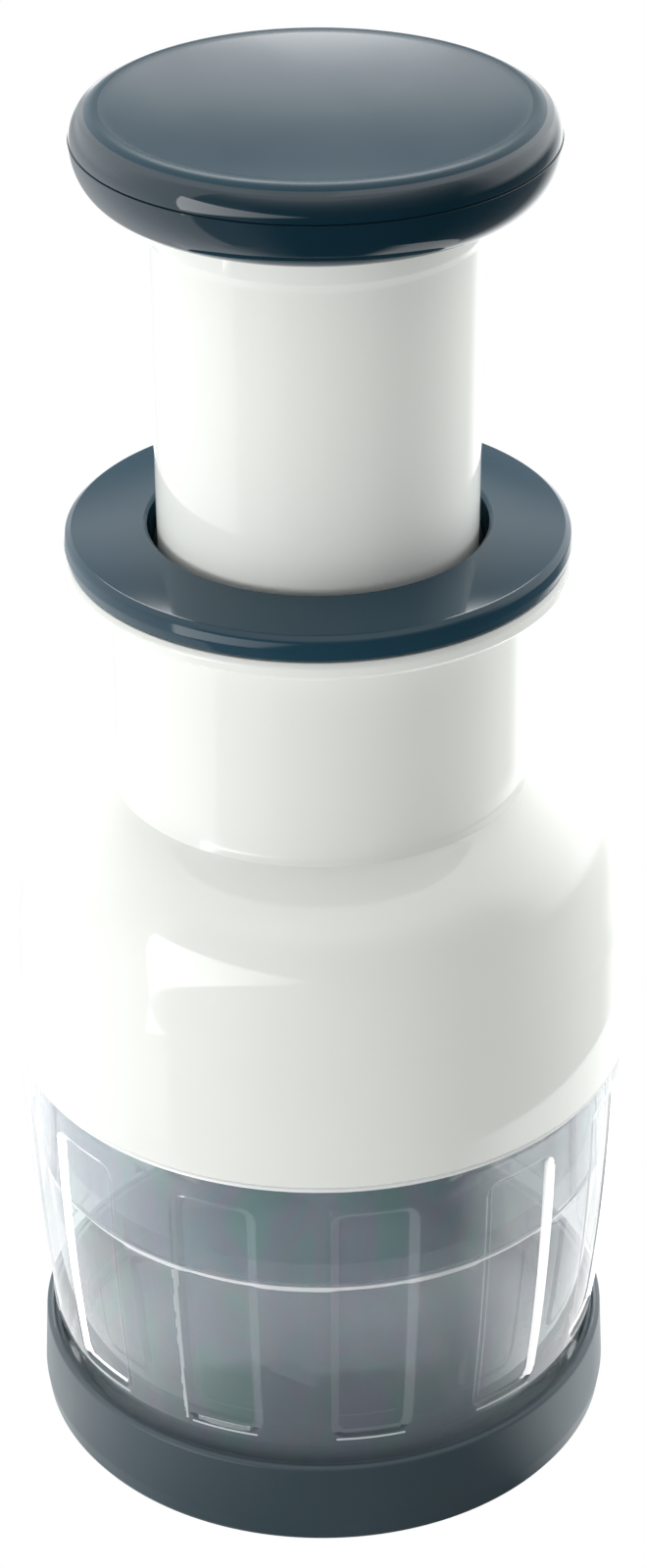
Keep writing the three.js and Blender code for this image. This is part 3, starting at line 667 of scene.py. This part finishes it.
# %% Base cap
cup_rim, cup_foot, cup_top = cad_size("base_cap")
foot_inner, foot_recess = cup_rim - 3.7, 1.8
channel, channel_floor = cup_rim - 3.0, 3.8
board_reach, board_top = 38.2, 5.3
base_outline = rounded([
    (0, foot_recess), (foot_inner, foot_recess, 0.4), (foot_inner, cup_foot, 0.3),
    (cup_rim - 1.1, cup_foot, 0.5), (cup_rim - 0.35, 1.1, 0.8), (cup_rim, 3.7, 2.5),
    *from_rim(
        cup_rim, cup_top, (0.5, 0.4, 0.6), (1.1, 0, 0.3), (1.65, 0, 0.25), (1.8, 0.45, 0.2),
        (2.55, 0.5, 0.35),
    ),
    (channel, channel_floor, 0.3), (board_reach, channel_floor, 0.3), (board_reach, board_top, 0.5),
    (0, board_top),
])
base_cap = smooth(turned("base_cup", base_outline))
dress(base_cap, matte_teal, "base", "base_cap")

# %% Chopping board
BOARD = 1
base_cap.data.materials.append(board_teal)
for face in base_cap.data.polygons:
    centre = face.center / MM
    if board_top - 0.8 < centre.z < board_top + 0.1 and centre.xy.length < board_reach - 0.1:
        face.material_index = BOARD
print("the board is", 2 * board_reach, "mm across")

# %% [markdown]
# ## Container
#
# Twelve shallow panels are sunk into the clear wall, each a little over half of its share of
# the circle, with rounded corners and sloped sides. The slopes catch the light and draw the
# bright upright lines. Cutting them with a boolean would leave hard seams, so the wall's
# radius itself is a function of angle and height: the distance to a rounded box says how deep
# the wall is sunk at each point.

# %% Panels
clear_reach, clear_foot, clear_top = cad_size("container")
panel_count = 12
panel_phase = math.radians(9.5)
panel_half = math.radians(8.3)
panel_low, panel_high = 18.7, 62.3
panel_corner = 2.6
panel_slope = 1.4
panel_depth_low, panel_depth_high = 0.6, 1.0
wall_low, wall_belly, wall_high = (42.2, 17.2), (45.6, 40.0), (clear_reach, 66.5)
ledge_height, step_band, step_kink = 47.3, 1.05, 0.25
step_low, step_high = (42.9, ledge_height - step_band), (42.95, ledge_height)


def wall_radius(z):
    """The outer wall's radius at a height: the same curve as a Bezier, solved for its height."""
    bend = wall_low[1] - 2 * wall_belly[1] + wall_high[1]
    lean = 2 * (wall_belly[1] - wall_low[1])
    t = (-lean + math.sqrt(lean ** 2 - 4 * bend * (wall_low[1] - z))) / (2 * bend)
    return (1 - t) ** 2 * wall_low[0] + 2 * t * (1 - t) * wall_belly[0] + t ** 2 * wall_high[0]


def from_panel(angle):
    """The angle from the middle of the nearest panel."""
    pitch = 2 * math.pi / panel_count
    return (angle - panel_phase + pitch / 2) % pitch - pitch / 2


def panel_share(angle, z):
    """0 on the wall, 1 on a panel's floor, and between them on its sloped side."""
    middle, half = (panel_low + panel_high) / 2, (panel_high - panel_low) / 2
    r = wall_radius(z)
    x = abs(from_panel(angle)) * r - panel_half * r + panel_corner
    y = abs(z - middle) - half + panel_corner
    outside = math.hypot(max(x, 0), max(y, 0)) + min(max(x, y), 0) - panel_corner
    return min(max(-outside / panel_slope, 0), 1)


def container_radius(angle, r, z):
    """Sinks the panels into the outer wall, and lets the step inside follow them a little."""
    if (r, z) in (step_low, step_high):
        return r - step_kink * panel_share(angle, ledge_height)
    if not panel_low - 1 < z < panel_high + 1 or abs(r - wall_radius(z)) > 0.01:
        return r
    rise = (z - panel_low) / (panel_high - panel_low)
    depth = panel_depth_low + (panel_depth_high - panel_depth_low) * rise
    return r - panel_share(angle, z) * depth


panel_width = 2 * panel_half * wall_radius(panel_high)
print("a panel is", round(panel_width, 1), "mm wide at its top")

# %% [markdown]
# A mesh that was fine everywhere would be heavy, so the rings and the steps round are close
# together on the slopes only, where the surface turns.

# %% Container mesh
coarse_rise, fine_rise, slope_middle, slope_zone = 1.6, 0.2, 1.6, 2.0
coarse_turn, fine_turn, edge_middle, edge_zone = 1.5, 0.22, 7.4, 1.5


def steps_between(start, end, coarse, fine, places, reach):
    """Steps from start to end, fine near some places and coarse elsewhere."""
    at, steps = start, []
    while at < end - fine / 2:
        steps.append(at)
        near = any(abs(at - place) < reach + 1e-6 for place in places)
        nearest = min([place - reach for place in places if place - reach > at + 1e-6], default=end)
        at = at + fine if near else min(at + coarse, max(nearest, at + fine))
    return steps


slopes = (panel_low + slope_middle, panel_high - slope_middle)
wall_heights = steps_between(wall_low[1], wall_high[1], coarse_rise, fine_rise, slopes, slope_zone)
pitch_angle = 360 / panel_count
edges = (pitch_angle / 2 - edge_middle, pitch_angle / 2 + edge_middle)
one_panel = steps_between(0, pitch_angle, coarse_turn, fine_turn, edges, edge_zone)
wall_angles = [
    math.radians(start - pitch_angle / 2 + step) + panel_phase
    for start in range(0, 360, int(pitch_angle)) for step in one_panel
]
print("wall:", len(wall_heights), "heights and", len(wall_angles), "angles")

# %% Container
chamber_wall = 2.4
spigot_outer, spigot_inner = 44.6, 43.4
foot_outer, foot_bore, foot_middle = 40.6, 38.6, 39.5
foot_turn = 16.8
# A band under the rim is kept free of other rings, because it gets a finish of its own: a painted highlight
rim_band, rim_round = 0.5, 0.25
rim_start = wall_high[1] - rim_band
rim_heights = [z for z in wall_heights if z < rim_start - 0.3] + [rim_start]
rim_end = [(clear_reach - 0.04, wall_high[1] - rim_round), (clear_reach - 0.31, wall_high[1])]
chamber = [(wall_radius(z) - chamber_wall, z) for z in range(18, 47, 2)]
container_outline = (
    run((foot_middle, clear_foot), (foot_outer, clear_foot, 0.3), (40.9, cup_top, 6.0), (42.0, foot_turn))
    + [(wall_radius(z), z) for z in rim_heights]
    + rim_end
    + run(
        (spigot_outer, wall_high[1]), (spigot_outer, clear_top, 0.3), (spigot_inner, clear_top, 0.2),
        (spigot_inner, ledge_height + 0.1), step_high,
    )
    + [step_low]
    + chamber[::-1]
    + run(
        (foot_middle, foot_turn), (38.9, cup_top, 4.0), (foot_bore, clear_foot, 0.3),
        (foot_middle, clear_foot),
    )
)
container = turned("clear_container", container_outline, radius_at=container_radius, angles=wall_angles)
smooth(container, 50)
dress(container, clear_plastic, "container", "container")

# %% [markdown]
# Light that enters a panel's sloped side is mirrored whole inside the wall, so the slopes turn white where
# the wall is seen at a slant: they mirror the studio through a leaned normal, with a share of flat white
# laid over them, a painted highlight. The step inside, on which the guard's edge rests, and the rim carry
# painted highlights, a near-white veil that draws them as bright lines. The slope at the foot of a panel
# carries painted shade, a dark veil that stands for the dark cup it looks down on, with a painted highlight
# line under it. One more painted highlight line stands left of the front, below the step, and widens
# upwards. Each is a finish of its own, chosen face by face.

# %% Slopes, step and lines
SLOPE, PAINTED_HIGHLIGHT, PAINTED_SHADE, PAINTED_LINE = 1, 2, 3, 4
for finish in (clear_slope, painted_highlight_veil, painted_shade_slope, painted_highlight_line):
    container.data.materials.append(finish)
outer_margin = 1.3
dark_height, pale_height = 1.2, 0.5
slope_low, slope_high = panel_low + 0.9, panel_high - 0.5
# The single painted highlight line: where it starts, in degrees from the front, its width and its growth
edge_start, edge_width, edge_taper = -28.95, 0.5, 0.7


def container_finish(place):
    """Which finish a face of the container has, from its middle in millimetres."""
    reach, angle, z = place.xy.length, math.atan2(place.x, -place.y), place.z
    if wall_low[1] < z < wall_high[1] and reach > wall_radius(z) - outer_margin:
        share = panel_share(angle, z)
        across, up_line = math.degrees(angle) - edge_start, (z - panel_low) / ledge_height
        # The slope at a panel's foot gets painted shade, a dark veil
        if z < panel_low + dark_height and 0.1 < share < 0.55:
            return PAINTED_SHADE
        # A painted highlight line under each panel, and a single one left of the front that widens upwards
        if panel_low - pale_height < z < panel_low and abs(from_panel(angle)) < panel_half * 0.85:
            return PAINTED_LINE
        if panel_low < z < ledge_height and 0 < across < edge_width + edge_taper * up_line:
            return PAINTED_LINE
        if slope_low < z < slope_high and 0.04 < share < 0.96:
            return SLOPE
    # The step inside and the band under the rim get a painted highlight, a near-white veil
    if step_low[1] < z < ledge_height + 0.1 and 42.3 < reach < 43.5:
        return PAINTED_HIGHLIGHT
    if z > rim_start and reach > clear_reach - 0.46:
        return PAINTED_HIGHLIGHT
    return 0


finishes = [container_finish(face.center / MM) for face in container.data.polygons]
container.data.polygons.foreach_set("material_index", finishes)
counts = [finishes.count(finish) for finish in (SLOPE, PAINTED_HIGHLIGHT, PAINTED_SHADE, PAINTED_LINE)]
print("slope, bright, dark and pale faces:", counts)

# %% [markdown]
# ## Housing, ring and bush
#
# The white housing swells from the mouth to a broad shoulder, then draws in to a neck that
# ends in a flange. Its shoulder is one smooth curve with no edge, so it is drawn with a
# Bezier curve and turned. The dark ring lies on the flange and the tube slides through it.

# %% Housing
mouth_reach, mouth, flange_top = cad_size("housing")
housing_wall = 2.0
neck_reach, neck_bore, neck_foot = 29.9, 27.6, 111.4
flange_reach = 36.0
ledge_bore, ledge_under, ledge_top = 24.3, 106.3, 108.5
rail_bore, rail_under, rail_top = 40.3, 78.9, 81.3
inner_wall, mouth_bore, mouth_step = 43.4, 44.9, 74.3
shoulder = bezier((45.05, 87.95), (43.37, 100.26), (45.37, 105.46), (30.5, 110.4), steps=60)
housing_outline = (
    run((45.5, mouth), (mouth_reach, mouth, 0.3), (45.1, 87.0))
    + shoulder
    + run(
        (30.4, 110.45), (neck_reach, neck_foot, 1.2), (neck_reach, flange_top - 4.4, 1.5),
        (30.9, flange_top - 3.0, 0.8),
        *from_rim(flange_reach, flange_top, (0.6, 2.55, 0.3), (0, 1.9, 0.6), (0, 0.6, 0.5), (0.7, 0, 0.3)),
        (neck_bore, flange_top, 0.2), (neck_bore, ledge_top),
        (ledge_bore, ledge_top, 0.2), (ledge_bore, ledge_under), (36.0, ledge_under, 1.0), (40.0, 103.4),
    )
    + [(r - housing_wall, z) for r, z in shoulder if z < 102.0][::-1]
    + run(
        (inner_wall, rail_top), (rail_bore, rail_top, 0.4), (rail_bore, rail_under, 0.3),
        (inner_wall, rail_under), (inner_wall, mouth_step), (mouth_bore, mouth_step),
        (mouth_bore, mouth, 0.2), (45.5, mouth),
    )
)
dress(smooth(turned("white_housing", housing_outline)), white_gloss, "housing", "housing")

# %% Collar ring and guide bush
ring_reach, ring_foot, ring_top = cad_size("collar_ring")
bush_reach, bush_foot, bush_top = cad_size("guide_bush")
ring_bore, ring_under = 24.05, flange_top + 0.3
bush_bore = 23.2
ring_outline = rounded([
    (ring_bore, ring_foot, 0.2), (bush_reach, ring_foot, 0.2), (bush_reach, ring_under),
    (ring_reach - 0.3, ring_under, 0.3),
    *from_rim(ring_reach, ring_top, (0, 2.7, 1.2), (0.25, 1.3, 0.8), (1.1, 0.7, 0.5)),
    (ring_bore + 0.55, ring_top, 0.3), (ring_bore, ring_top - 0.5, 0.3),
], 6)
dress(smooth(turned("dark_ring", ring_outline)), ring_teal, "housing", "collar_ring")
bush_outline = rounded([
    (bush_bore, bush_foot, 0.3), (bush_reach, bush_foot, 0.3), (bush_reach, bush_top, 0.3),
    (bush_bore, bush_top, 0.3),
])
guide_bush = smooth(turned("sliding_bush", bush_outline))
dress(guide_bush, natural_plastic, "housing", "guide_bush")

# %% [markdown]
# ## Tube and knob
#
# The tube is a plain white cylinder with a slight draft and a collar under the knob. The knob is two
# mouldings that meet in a hairline: a polished bowl below, and a cap above whose rim is polished and whose
# dished top is left satin, so that a palm doesn't slip on it. The crest round the dish has a duller finish
# that mirrors less, painted shade that dims the bright line the studio draws along its front, and a
# slightly paler colour, painted light that lifts its sides.

# %% Plunger tube
collar_reach, tube_foot, tube_top = cad_size("plunger_tube")
tube_bore, tube_web = 20.9, tube_top - 2.3
collar_low = tube_top - 7.8
tube_outline = rounded([
    (0, tube_web), (tube_bore, tube_web, 0.5), (tube_bore, tube_foot, 0.3), (22.6, tube_foot, 0.3),
    (22.9, collar_low - 1.2, 2.0), (collar_reach, collar_low, 0.8), (collar_reach, tube_top, 0.3),
    (0, tube_top),
])
dress(smooth(turned("white_tube", tube_outline)), white_gloss, "plunger", "plunger_tube")

# %% Knob bowl
knob_reach, knob_foot, parting = cad_size("knob_base")
flank_width, flank_depth, knob_wall = 5.4, 7.2, 2.1
flank = (knob_reach - flank_width, parting)
socket_bore, socket_top, hat_top = 23.6, 202.5, 204.5
seam_top = parting + 0.15
bowl_outline = (
    run((socket_bore, socket_top), (socket_bore, knob_foot, 0.3), (27.0, knob_foot))
    + arc(flank, flank_width, flank_depth, -90, -2, 24)
    + run((knob_reach, parting + 0.1), (knob_reach - 0.1, seam_top), (31.0, seam_top))
    + arc(flank, flank_width - knob_wall, flank_depth - knob_wall, -20, -90, 10)
    + run(
        (26.5, knob_foot + knob_wall), (socket_bore + knob_wall, knob_foot + knob_wall, 0.5),
        (socket_bore + knob_wall, hat_top, 0.3), (0, hat_top), (0, socket_top),
    )
)
dress(smooth(turned("knob_bowl", bowl_outline)), gloss_teal, "plunger", "knob_base")

# %% Knob cap
cap_reach, cap_foot, knob_top = cad_size("knob_cap")
cap_wall = 2.0
dish_reach, dish_depth = 28.9, 2.0
dish_floor = knob_top - dish_depth
spigot_bore, spigot_reach = 29.2, 30.7
rim_width, rim_rise = 3.44, 3.9
cap_under, rim_centre = parting + 0.25, parting + 0.5
dish = bezier((dish_reach, knob_top - 0.01), (dish_reach / 2 - 0.05, dish_floor), (0, dish_floor), steps=24)
cap_outline = (
    [(r, z - cap_wall) for r, z in dish][::-1]
    + run(
        (spigot_bore, 208.6), (spigot_bore, cap_foot, 0.3), (spigot_reach, cap_foot, 0.3),
        (spigot_reach, cap_under), (cap_reach - 0.05, cap_under),
    )
    + arc((cap_reach - rim_width, rim_centre), rim_width, rim_rise, -2, 52, 16)
    + arc((29.0, rim_centre), 3.2, 4.06, 56, 81, 10)
    + dish
)
knob_cap = smooth(turned("knob_cap_dished", cap_outline))
dress(knob_cap, gloss_teal, "plunger", "knob_cap")

# %% Dish and crest
SATIN, PAINTED_CREST = 1, 2
crest_start, satin_edge = 28.4, 31.1
# The crest gets painted shade on its highlight and painted light on its sides
knob_cap.data.materials.append(satin_teal)
knob_cap.data.materials.append(crest_painted_teal)
for face in knob_cap.data.polygons:
    centre = face.center / MM
    if centre.xy.length < satin_edge and centre.z > 208:
        face.material_index = PAINTED_CREST if centre.xy.length > crest_start else SATIN
print("the dish is satin up to", satin_edge, "mm from the middle")

# %% [markdown]
# ## Blade guard
#
# The guard is a clear cup that hangs inside the container. Its neck snaps on a rail in the
# housing with six fingers, and its plate has slots with the zigzag of the blades, so that food
# stuck to a blade is wiped off on the way up. The slots are cut with a boolean, because they
# have hard edges in reality too.

# %% Blade lines
holder_reach, holder_foot, holder_top = cad_size("blade_holder")
row_outer, row_inner, row_margin = 24.4, 15.4, 3.5
row_reach = math.sqrt((holder_reach - row_margin) ** 2 - row_inner ** 2)
side_start, side_end, side_swing = 14.4, 32.8, 4.5


def zigzag(count, start, end, even, odd):
    """Corner points of a folded strip, seen from above."""
    step = (end - start) / count
    return [Vector((start + i * step, odd if i % 2 else even)) for i in range(count + 1)]


long_line = zigzag(6, -row_reach, row_reach, row_inner, row_outer)
side_line = zigzag(3, side_start, side_end, side_swing, -side_swing)
blade_lines = {
    "blade_row_back": long_line,
    "blade_row_front": [-point for point in long_line],
    "blade_side_right": side_line,
    "blade_side_left": [-point for point in side_line],
}
print("a long blade is", round(2 * row_reach), "mm from end to end")

# %% Strips
def bent(line, radius=1.0, steps=4):
    """The line with each fold rounded, as a strip bends over a tool."""
    points = [line[0]]
    for before, here, after in zip(line, line[1:], line[2:]):
        start = here + (before - here).normalized() * radius
        end = here + (after - here).normalized() * radius
        for t in (k / steps for k in range(steps + 1)):
            points.append(start.lerp(here, t).lerp(here.lerp(end, t), t))
    return points + [line[-1]]


def lengthened(line, extra):
    first = line[0] + (line[0] - line[1]).normalized() * extra
    last = line[-1] + (line[-1] - line[-2]).normalized() * extra
    return [first, *line[1:-1], last]


def edges_of(line, width):
    """The two long edges of a strip of even width along a line."""
    one, other = [], []
    for i, here in enumerate(line):
        nearby = line[max(i - 1, 0):i + 2]
        normals = [Vector((b.y - a.y, a.x - b.x)).normalized() for a, b in zip(nearby, nearby[1:])]
        mean = sum(normals, Vector((0, 0))).normalized()
        reach = mean * (width / 2 / mean.dot(normals[0]))
        one.append(here + reach)
        other.append(here - reach)
    return one, other


def strip(name, line, levels):
    """A strip on edge: each level is a height and the strip's thickness there."""
    shape = bmesh.new()
    rings = []
    for z, width in levels:
        one, other = edges_of(line, width)
        rings.append([shape.verts.new((p.x, p.y, z)) for p in one + other[::-1]])
    skin(shape, rings)
    count = len(rings[0])
    for ring in (rings[0], rings[-1]):
        for k in range(count // 2 - 1):
            shape.faces.new((ring[k], ring[k + 1], ring[count - 2 - k], ring[count - 1 - k]))
    return mesh_object(name, shape)


def blade_cutters(name, extra, width, low, high):
    """One strip for each blade, a little longer and wider than the blade."""
    return [
        strip(name + blade, lengthened(line, extra), [(low, width), (high, width)])
        for blade, line in blade_lines.items()
    ]


print("a fold has", len(bent(long_line)) // (len(long_line) - 2), "points")

# %% Cutting
# How far a cutter reaches past what it cuts
overrun = 1.0


def combined(piece, operation, *tools):
    """Takes the tools' shapes out of a piece or joins them to it, and deletes the tools."""
    for tool in tools:
        step = piece.modifiers.new(operation, "BOOLEAN")
        step.operation = operation
        step.object = tool
        step.solver = "EXACT"
    bpy.context.view_layer.update()
    piece.data = bpy.data.meshes.new_from_object(piece.evaluated_get(bpy.context.evaluated_depsgraph_get()))
    piece.modifiers.clear()
    for tool in tools:
        bpy.data.objects.remove(tool)
    return piece


def extruded(name, corners, low, high):
    """A flat outline of corners pushed up from one height to another."""
    shape = bmesh.new()
    bottom, top = ([shape.verts.new((x, y, z)) for x, y in corners] for z in (low, high))
    skin(shape, (bottom, top))
    shape.faces.new(bottom[::-1])
    shape.faces.new(top)
    return mesh_object(name, shape)


def turned_copies(corners, count):
    """The corners of an outline, turned to each of several places round the middle."""
    copies = []
    for a in (2 * math.pi * k / count for k in range(count)):
        cos, sin = math.cos(a), math.sin(a)
        copies.append([(x * cos - y * sin, x * sin + y * cos) for x, y in corners])
    return copies


print("cutters reach", overrun, "mm past what they cut")

# %% Blade guard
guard_reach, plate_under, guard_top = cad_size("blade_guard")
plate_top = plate_under + 2.0
guard_wall, plate_bore = 1.6, 6.3
guard_bore, bore_end = guard_reach - guard_wall, 73.4
guard_shelf = 78.6
clip_outer, clip_inner, barb_reach = 39.9, 38.1, 41.4
guard_outline = rounded([
    (plate_bore, plate_under, 0.2), (guard_reach, plate_under, 0.4), (guard_reach, guard_shelf, 0.3),
    (clip_outer, guard_shelf, 0.3), (clip_outer, guard_top - 2.2), (barb_reach, guard_top - 2.2, 0.2),
    (barb_reach, guard_top - 1.4, 0.2), (clip_outer, guard_top, 0.3), (clip_inner, guard_top, 0.3),
    (clip_inner, guard_shelf - 1.8, 0.8), (guard_bore, bore_end, 0.8), (guard_bore, plate_top, 0.8),
    (plate_bore, plate_top, 0.2),
])
slot_width, slot_spare = 1.3, 0.35
slots = blade_cutters("slot_", slot_spare, slot_width, plate_under - overrun, plate_top + overrun)
finger_count, gap_half, gap_low, gap_high = 6, 1.5, guard_shelf + 0.4, guard_top + 1.1
gap_start, gap_end = 30, 44
gap = [(gap_start, -gap_half), (gap_end, -gap_half), (gap_end, gap_half), (gap_start, gap_half)]
finger_gaps = [
    extruded("finger_gap", corners, gap_low, gap_high) for corners in turned_copies(gap, finger_count)
]
guard = turned("clear_guard", guard_outline)
smooth(combined(guard, "DIFFERENCE", *slots, *finger_gaps), 30)
dress(guard, guard_plastic_painted_shade, "guard", "blade_guard")

# %% [markdown]
# ## Blades and what carries them
#
# Four steel strips, folded into zigzags, stand in grooves of a round holder, and a clamp
# plate with three screws keeps them there. Each strip is thin, so it gets its ground edge by
# making the lowest three millimetres taper. The folds are rounded, because a strip that is
# folded sharply cracks.

# %% Blades
_, blade_tip, blade_top = cad_size("blade_row_front")
blade_levels = [
    (blade_tip, 0.10), (blade_tip + 0.2, 0.16), (blade_tip + 3.0, 0.58), (blade_tip + 3.4, 0.6),
    (blade_top - 0.1, 0.6),
]
for name, line in blade_lines.items():
    blade = smooth(strip(name.replace("blade", "steel"), bent(line), blade_levels), 25)
    dress(blade, blade_steel, "plunger", name)

# %% Cutters for holder and clamp
column_radius, spline_radius, spline_half = 11.5, 13.0, 1.2
screw_circle = 18.2
screw_angles = (90, 210, 330)
screw_hole, head_hole, head_depth = 1.5, 2.7, 2.0
groove_width, groove_depth = 1.2, 1.7
# How much longer than a blade its groove in the holder and its slit in the clamp are, at each end
groove_spare, slit_spare = 2.3, 0.3
key_play = 0.3


def keyed(growth, steps=96):
    """The column's outline from above: a circle with four splines."""
    corners = []
    for k in range(steps):
        a = math.radians(45 + 360 * k / steps)
        nearest = round((math.degrees(a) - 45) / 90) * 90 + 45
        off = a - math.radians(nearest)
        wide = math.asin((spline_half + growth) / (column_radius + growth))
        reach = (spline_radius + growth) / math.cos(off) if abs(off) < wide else column_radius + growth
        corners.append((reach * math.cos(a), reach * math.sin(a)))
    return corners


def screw_pins(radius, low, high):
    pins = []
    for a in map(math.radians, screw_angles):
        pin = turned("pin", [(0, low), (radius, low), (radius, high), (0, high)], 32)
        pin.data.transform(Matrix.Translation(Vector((math.cos(a), math.sin(a), 0)) * screw_circle * MM))
        pins.append(pin)
    return pins


def disc(name, reach, low, high, low_round):
    """A flat disc with rounded edges, with holes for the column and the screws."""
    outline = rounded([(0, low), (reach, low, low_round), (reach, high, 0.4), (0, high)])
    through = (low - overrun, high + overrun)
    key = extruded("key", keyed(key_play), *through)
    return combined(turned(name, outline, 144), "DIFFERENCE", key, *screw_pins(screw_hole, *through))


print("the screws stand", screw_circle, "mm from the middle")

# %% Blade holder and clamp
holder = disc("blade_holder_disc", holder_reach, holder_foot, holder_top, 0.4)
groove_top = holder_foot + groove_depth
grooves = blade_cutters("groove_", groove_spare, groove_width, holder_foot - overrun, groove_top)
smooth(combined(holder, "DIFFERENCE", *grooves), 30)
dress(holder, natural_plastic, "plunger", "blade_holder")

clamp_reach, clamp_foot, clamp_top = cad_size("blade_clamp")
clamp = disc("blade_clamp_disc", clamp_reach, clamp_foot, clamp_top, 0.5)
heads = screw_pins(head_hole, clamp_foot - overrun, clamp_foot + head_depth)
slits = blade_cutters("slit_", slit_spare, groove_width, clamp_foot - overrun, clamp_top + overrun)
smooth(combined(clamp, "DIFFERENCE", *heads, *slits), 30)
dress(clamp, natural_plastic, "plunger", "blade_clamp")

# %% [markdown]
# ## Column, spring and cap
#
# A hollow splined post stands in the guard's plate and keeps the blades over their slots. The spring stands
# in it and pushes the tube up. Its end turns lie flat, as on every spring that pushes. It is one wire swept
# along a coil, and it has to shorten when the knob is pressed. Here it gets a mesh of its own.

# %% Guard column
_, barb_foot, column_top = cad_size("guard_column")
column_bore, column_floor = 9.6, 52.3
neck_radius, lip_radius, lip_top = 6.0, 6.8, plate_under - 0.3
neck_end = 51.1
column = extruded("splined_column", keyed(0), plate_top + 0.3, column_top)
bore_top = column_top + overrun
bore = [(0, column_floor), (column_bore, column_floor), (column_bore, bore_top), (0, bore_top)]
combined(column, "DIFFERENCE", turned("bore", bore, 96))
foot_outline = rounded([
    (0, barb_foot), (neck_radius, barb_foot, 0.2), (lip_radius, barb_foot + 0.9, 0.1),
    (lip_radius, lip_top, 0.1), (neck_radius, lip_top), (neck_radius, neck_end), (0, neck_end),
])
combined(column, "UNION", turned("column_foot", foot_outline, 96))
smooth(column, 25)
dress(column, natural_plastic, "guard", "guard_column")

# %% Spring
wire_radius, coil_radius, coil_turns = 0.75, 8.2, 13
spring_foot, spring_top = 52.6, 197.0
end_turns = 0.75
wire_gap = 1.02


def coil_height(turns):
    """The wire's middle: flat end turns, and an even rise between them."""
    low, high = spring_foot + wire_radius, spring_top - wire_radius
    flat = 2 * wire_radius * wire_gap
    if turns < end_turns:
        return low + flat * turns / end_turns * 0.5
    if turns > coil_turns - end_turns:
        return high - flat * (coil_turns - turns) / end_turns * 0.5
    share = (turns - end_turns) / (coil_turns - 2 * end_turns)
    return low + flat / 2 + share * (high - low - flat)


def coil(name, sides=10, steps_per_turn=40):
    shape = bmesh.new()
    rings = []
    for turns in (k / steps_per_turn for k in range(coil_turns * steps_per_turn + 1)):
        a = 2 * math.pi * turns
        outward = Vector((math.cos(a), math.sin(a), 0))
        centre = outward * coil_radius + Vector((0, 0, coil_height(turns)))
        rings.append([
            shape.verts.new(centre + wire_radius * (outward * math.cos(b) + Vector((0, 0, math.sin(b)))))
            for b in (2 * math.pi * n / sides for n in range(sides))
        ])
    skin(shape, rings)
    shape.faces.new(rings[0])
    shape.faces.new(rings[-1][::-1])
    return mesh_object(name, shape)


spring = smooth(coil("coil_spring"), 60)
dress(spring, spring_steel, "guard", "main_spring")
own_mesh(spring)

# %% Spring cap
seat_reach, stem_foot, seat_top = cad_size("spring_cap")
stem_reach, seat_under = 6.65, seat_top - 2.2
spring_cap_outline = rounded([
    (0, stem_foot), (stem_reach, stem_foot, 0.8), (stem_reach, seat_under, 0.3),
    (seat_reach, seat_under, 0.3), (seat_reach, seat_top, 0.3), (0, seat_top),
])
spring_cap = smooth(turned("spring_seat", spring_cap_outline, 96))
dress(spring_cap, natural_plastic, "plunger", "spring_cap")

# %% [markdown]
# ## Screws
#
# The six screws are hidden in use. Their solids already have the right shape, so these CAD
# nodes stay and only take a steel finish.

# %% Screws
for group in ("clamp_screw", "knob_screw"):
    for number in (1, 2, 3):
        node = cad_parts[group + "_" + str(number)]
        node.data.materials.clear()
        node.data.materials.append(screw_steel)
        print(node.name, "is in steel")
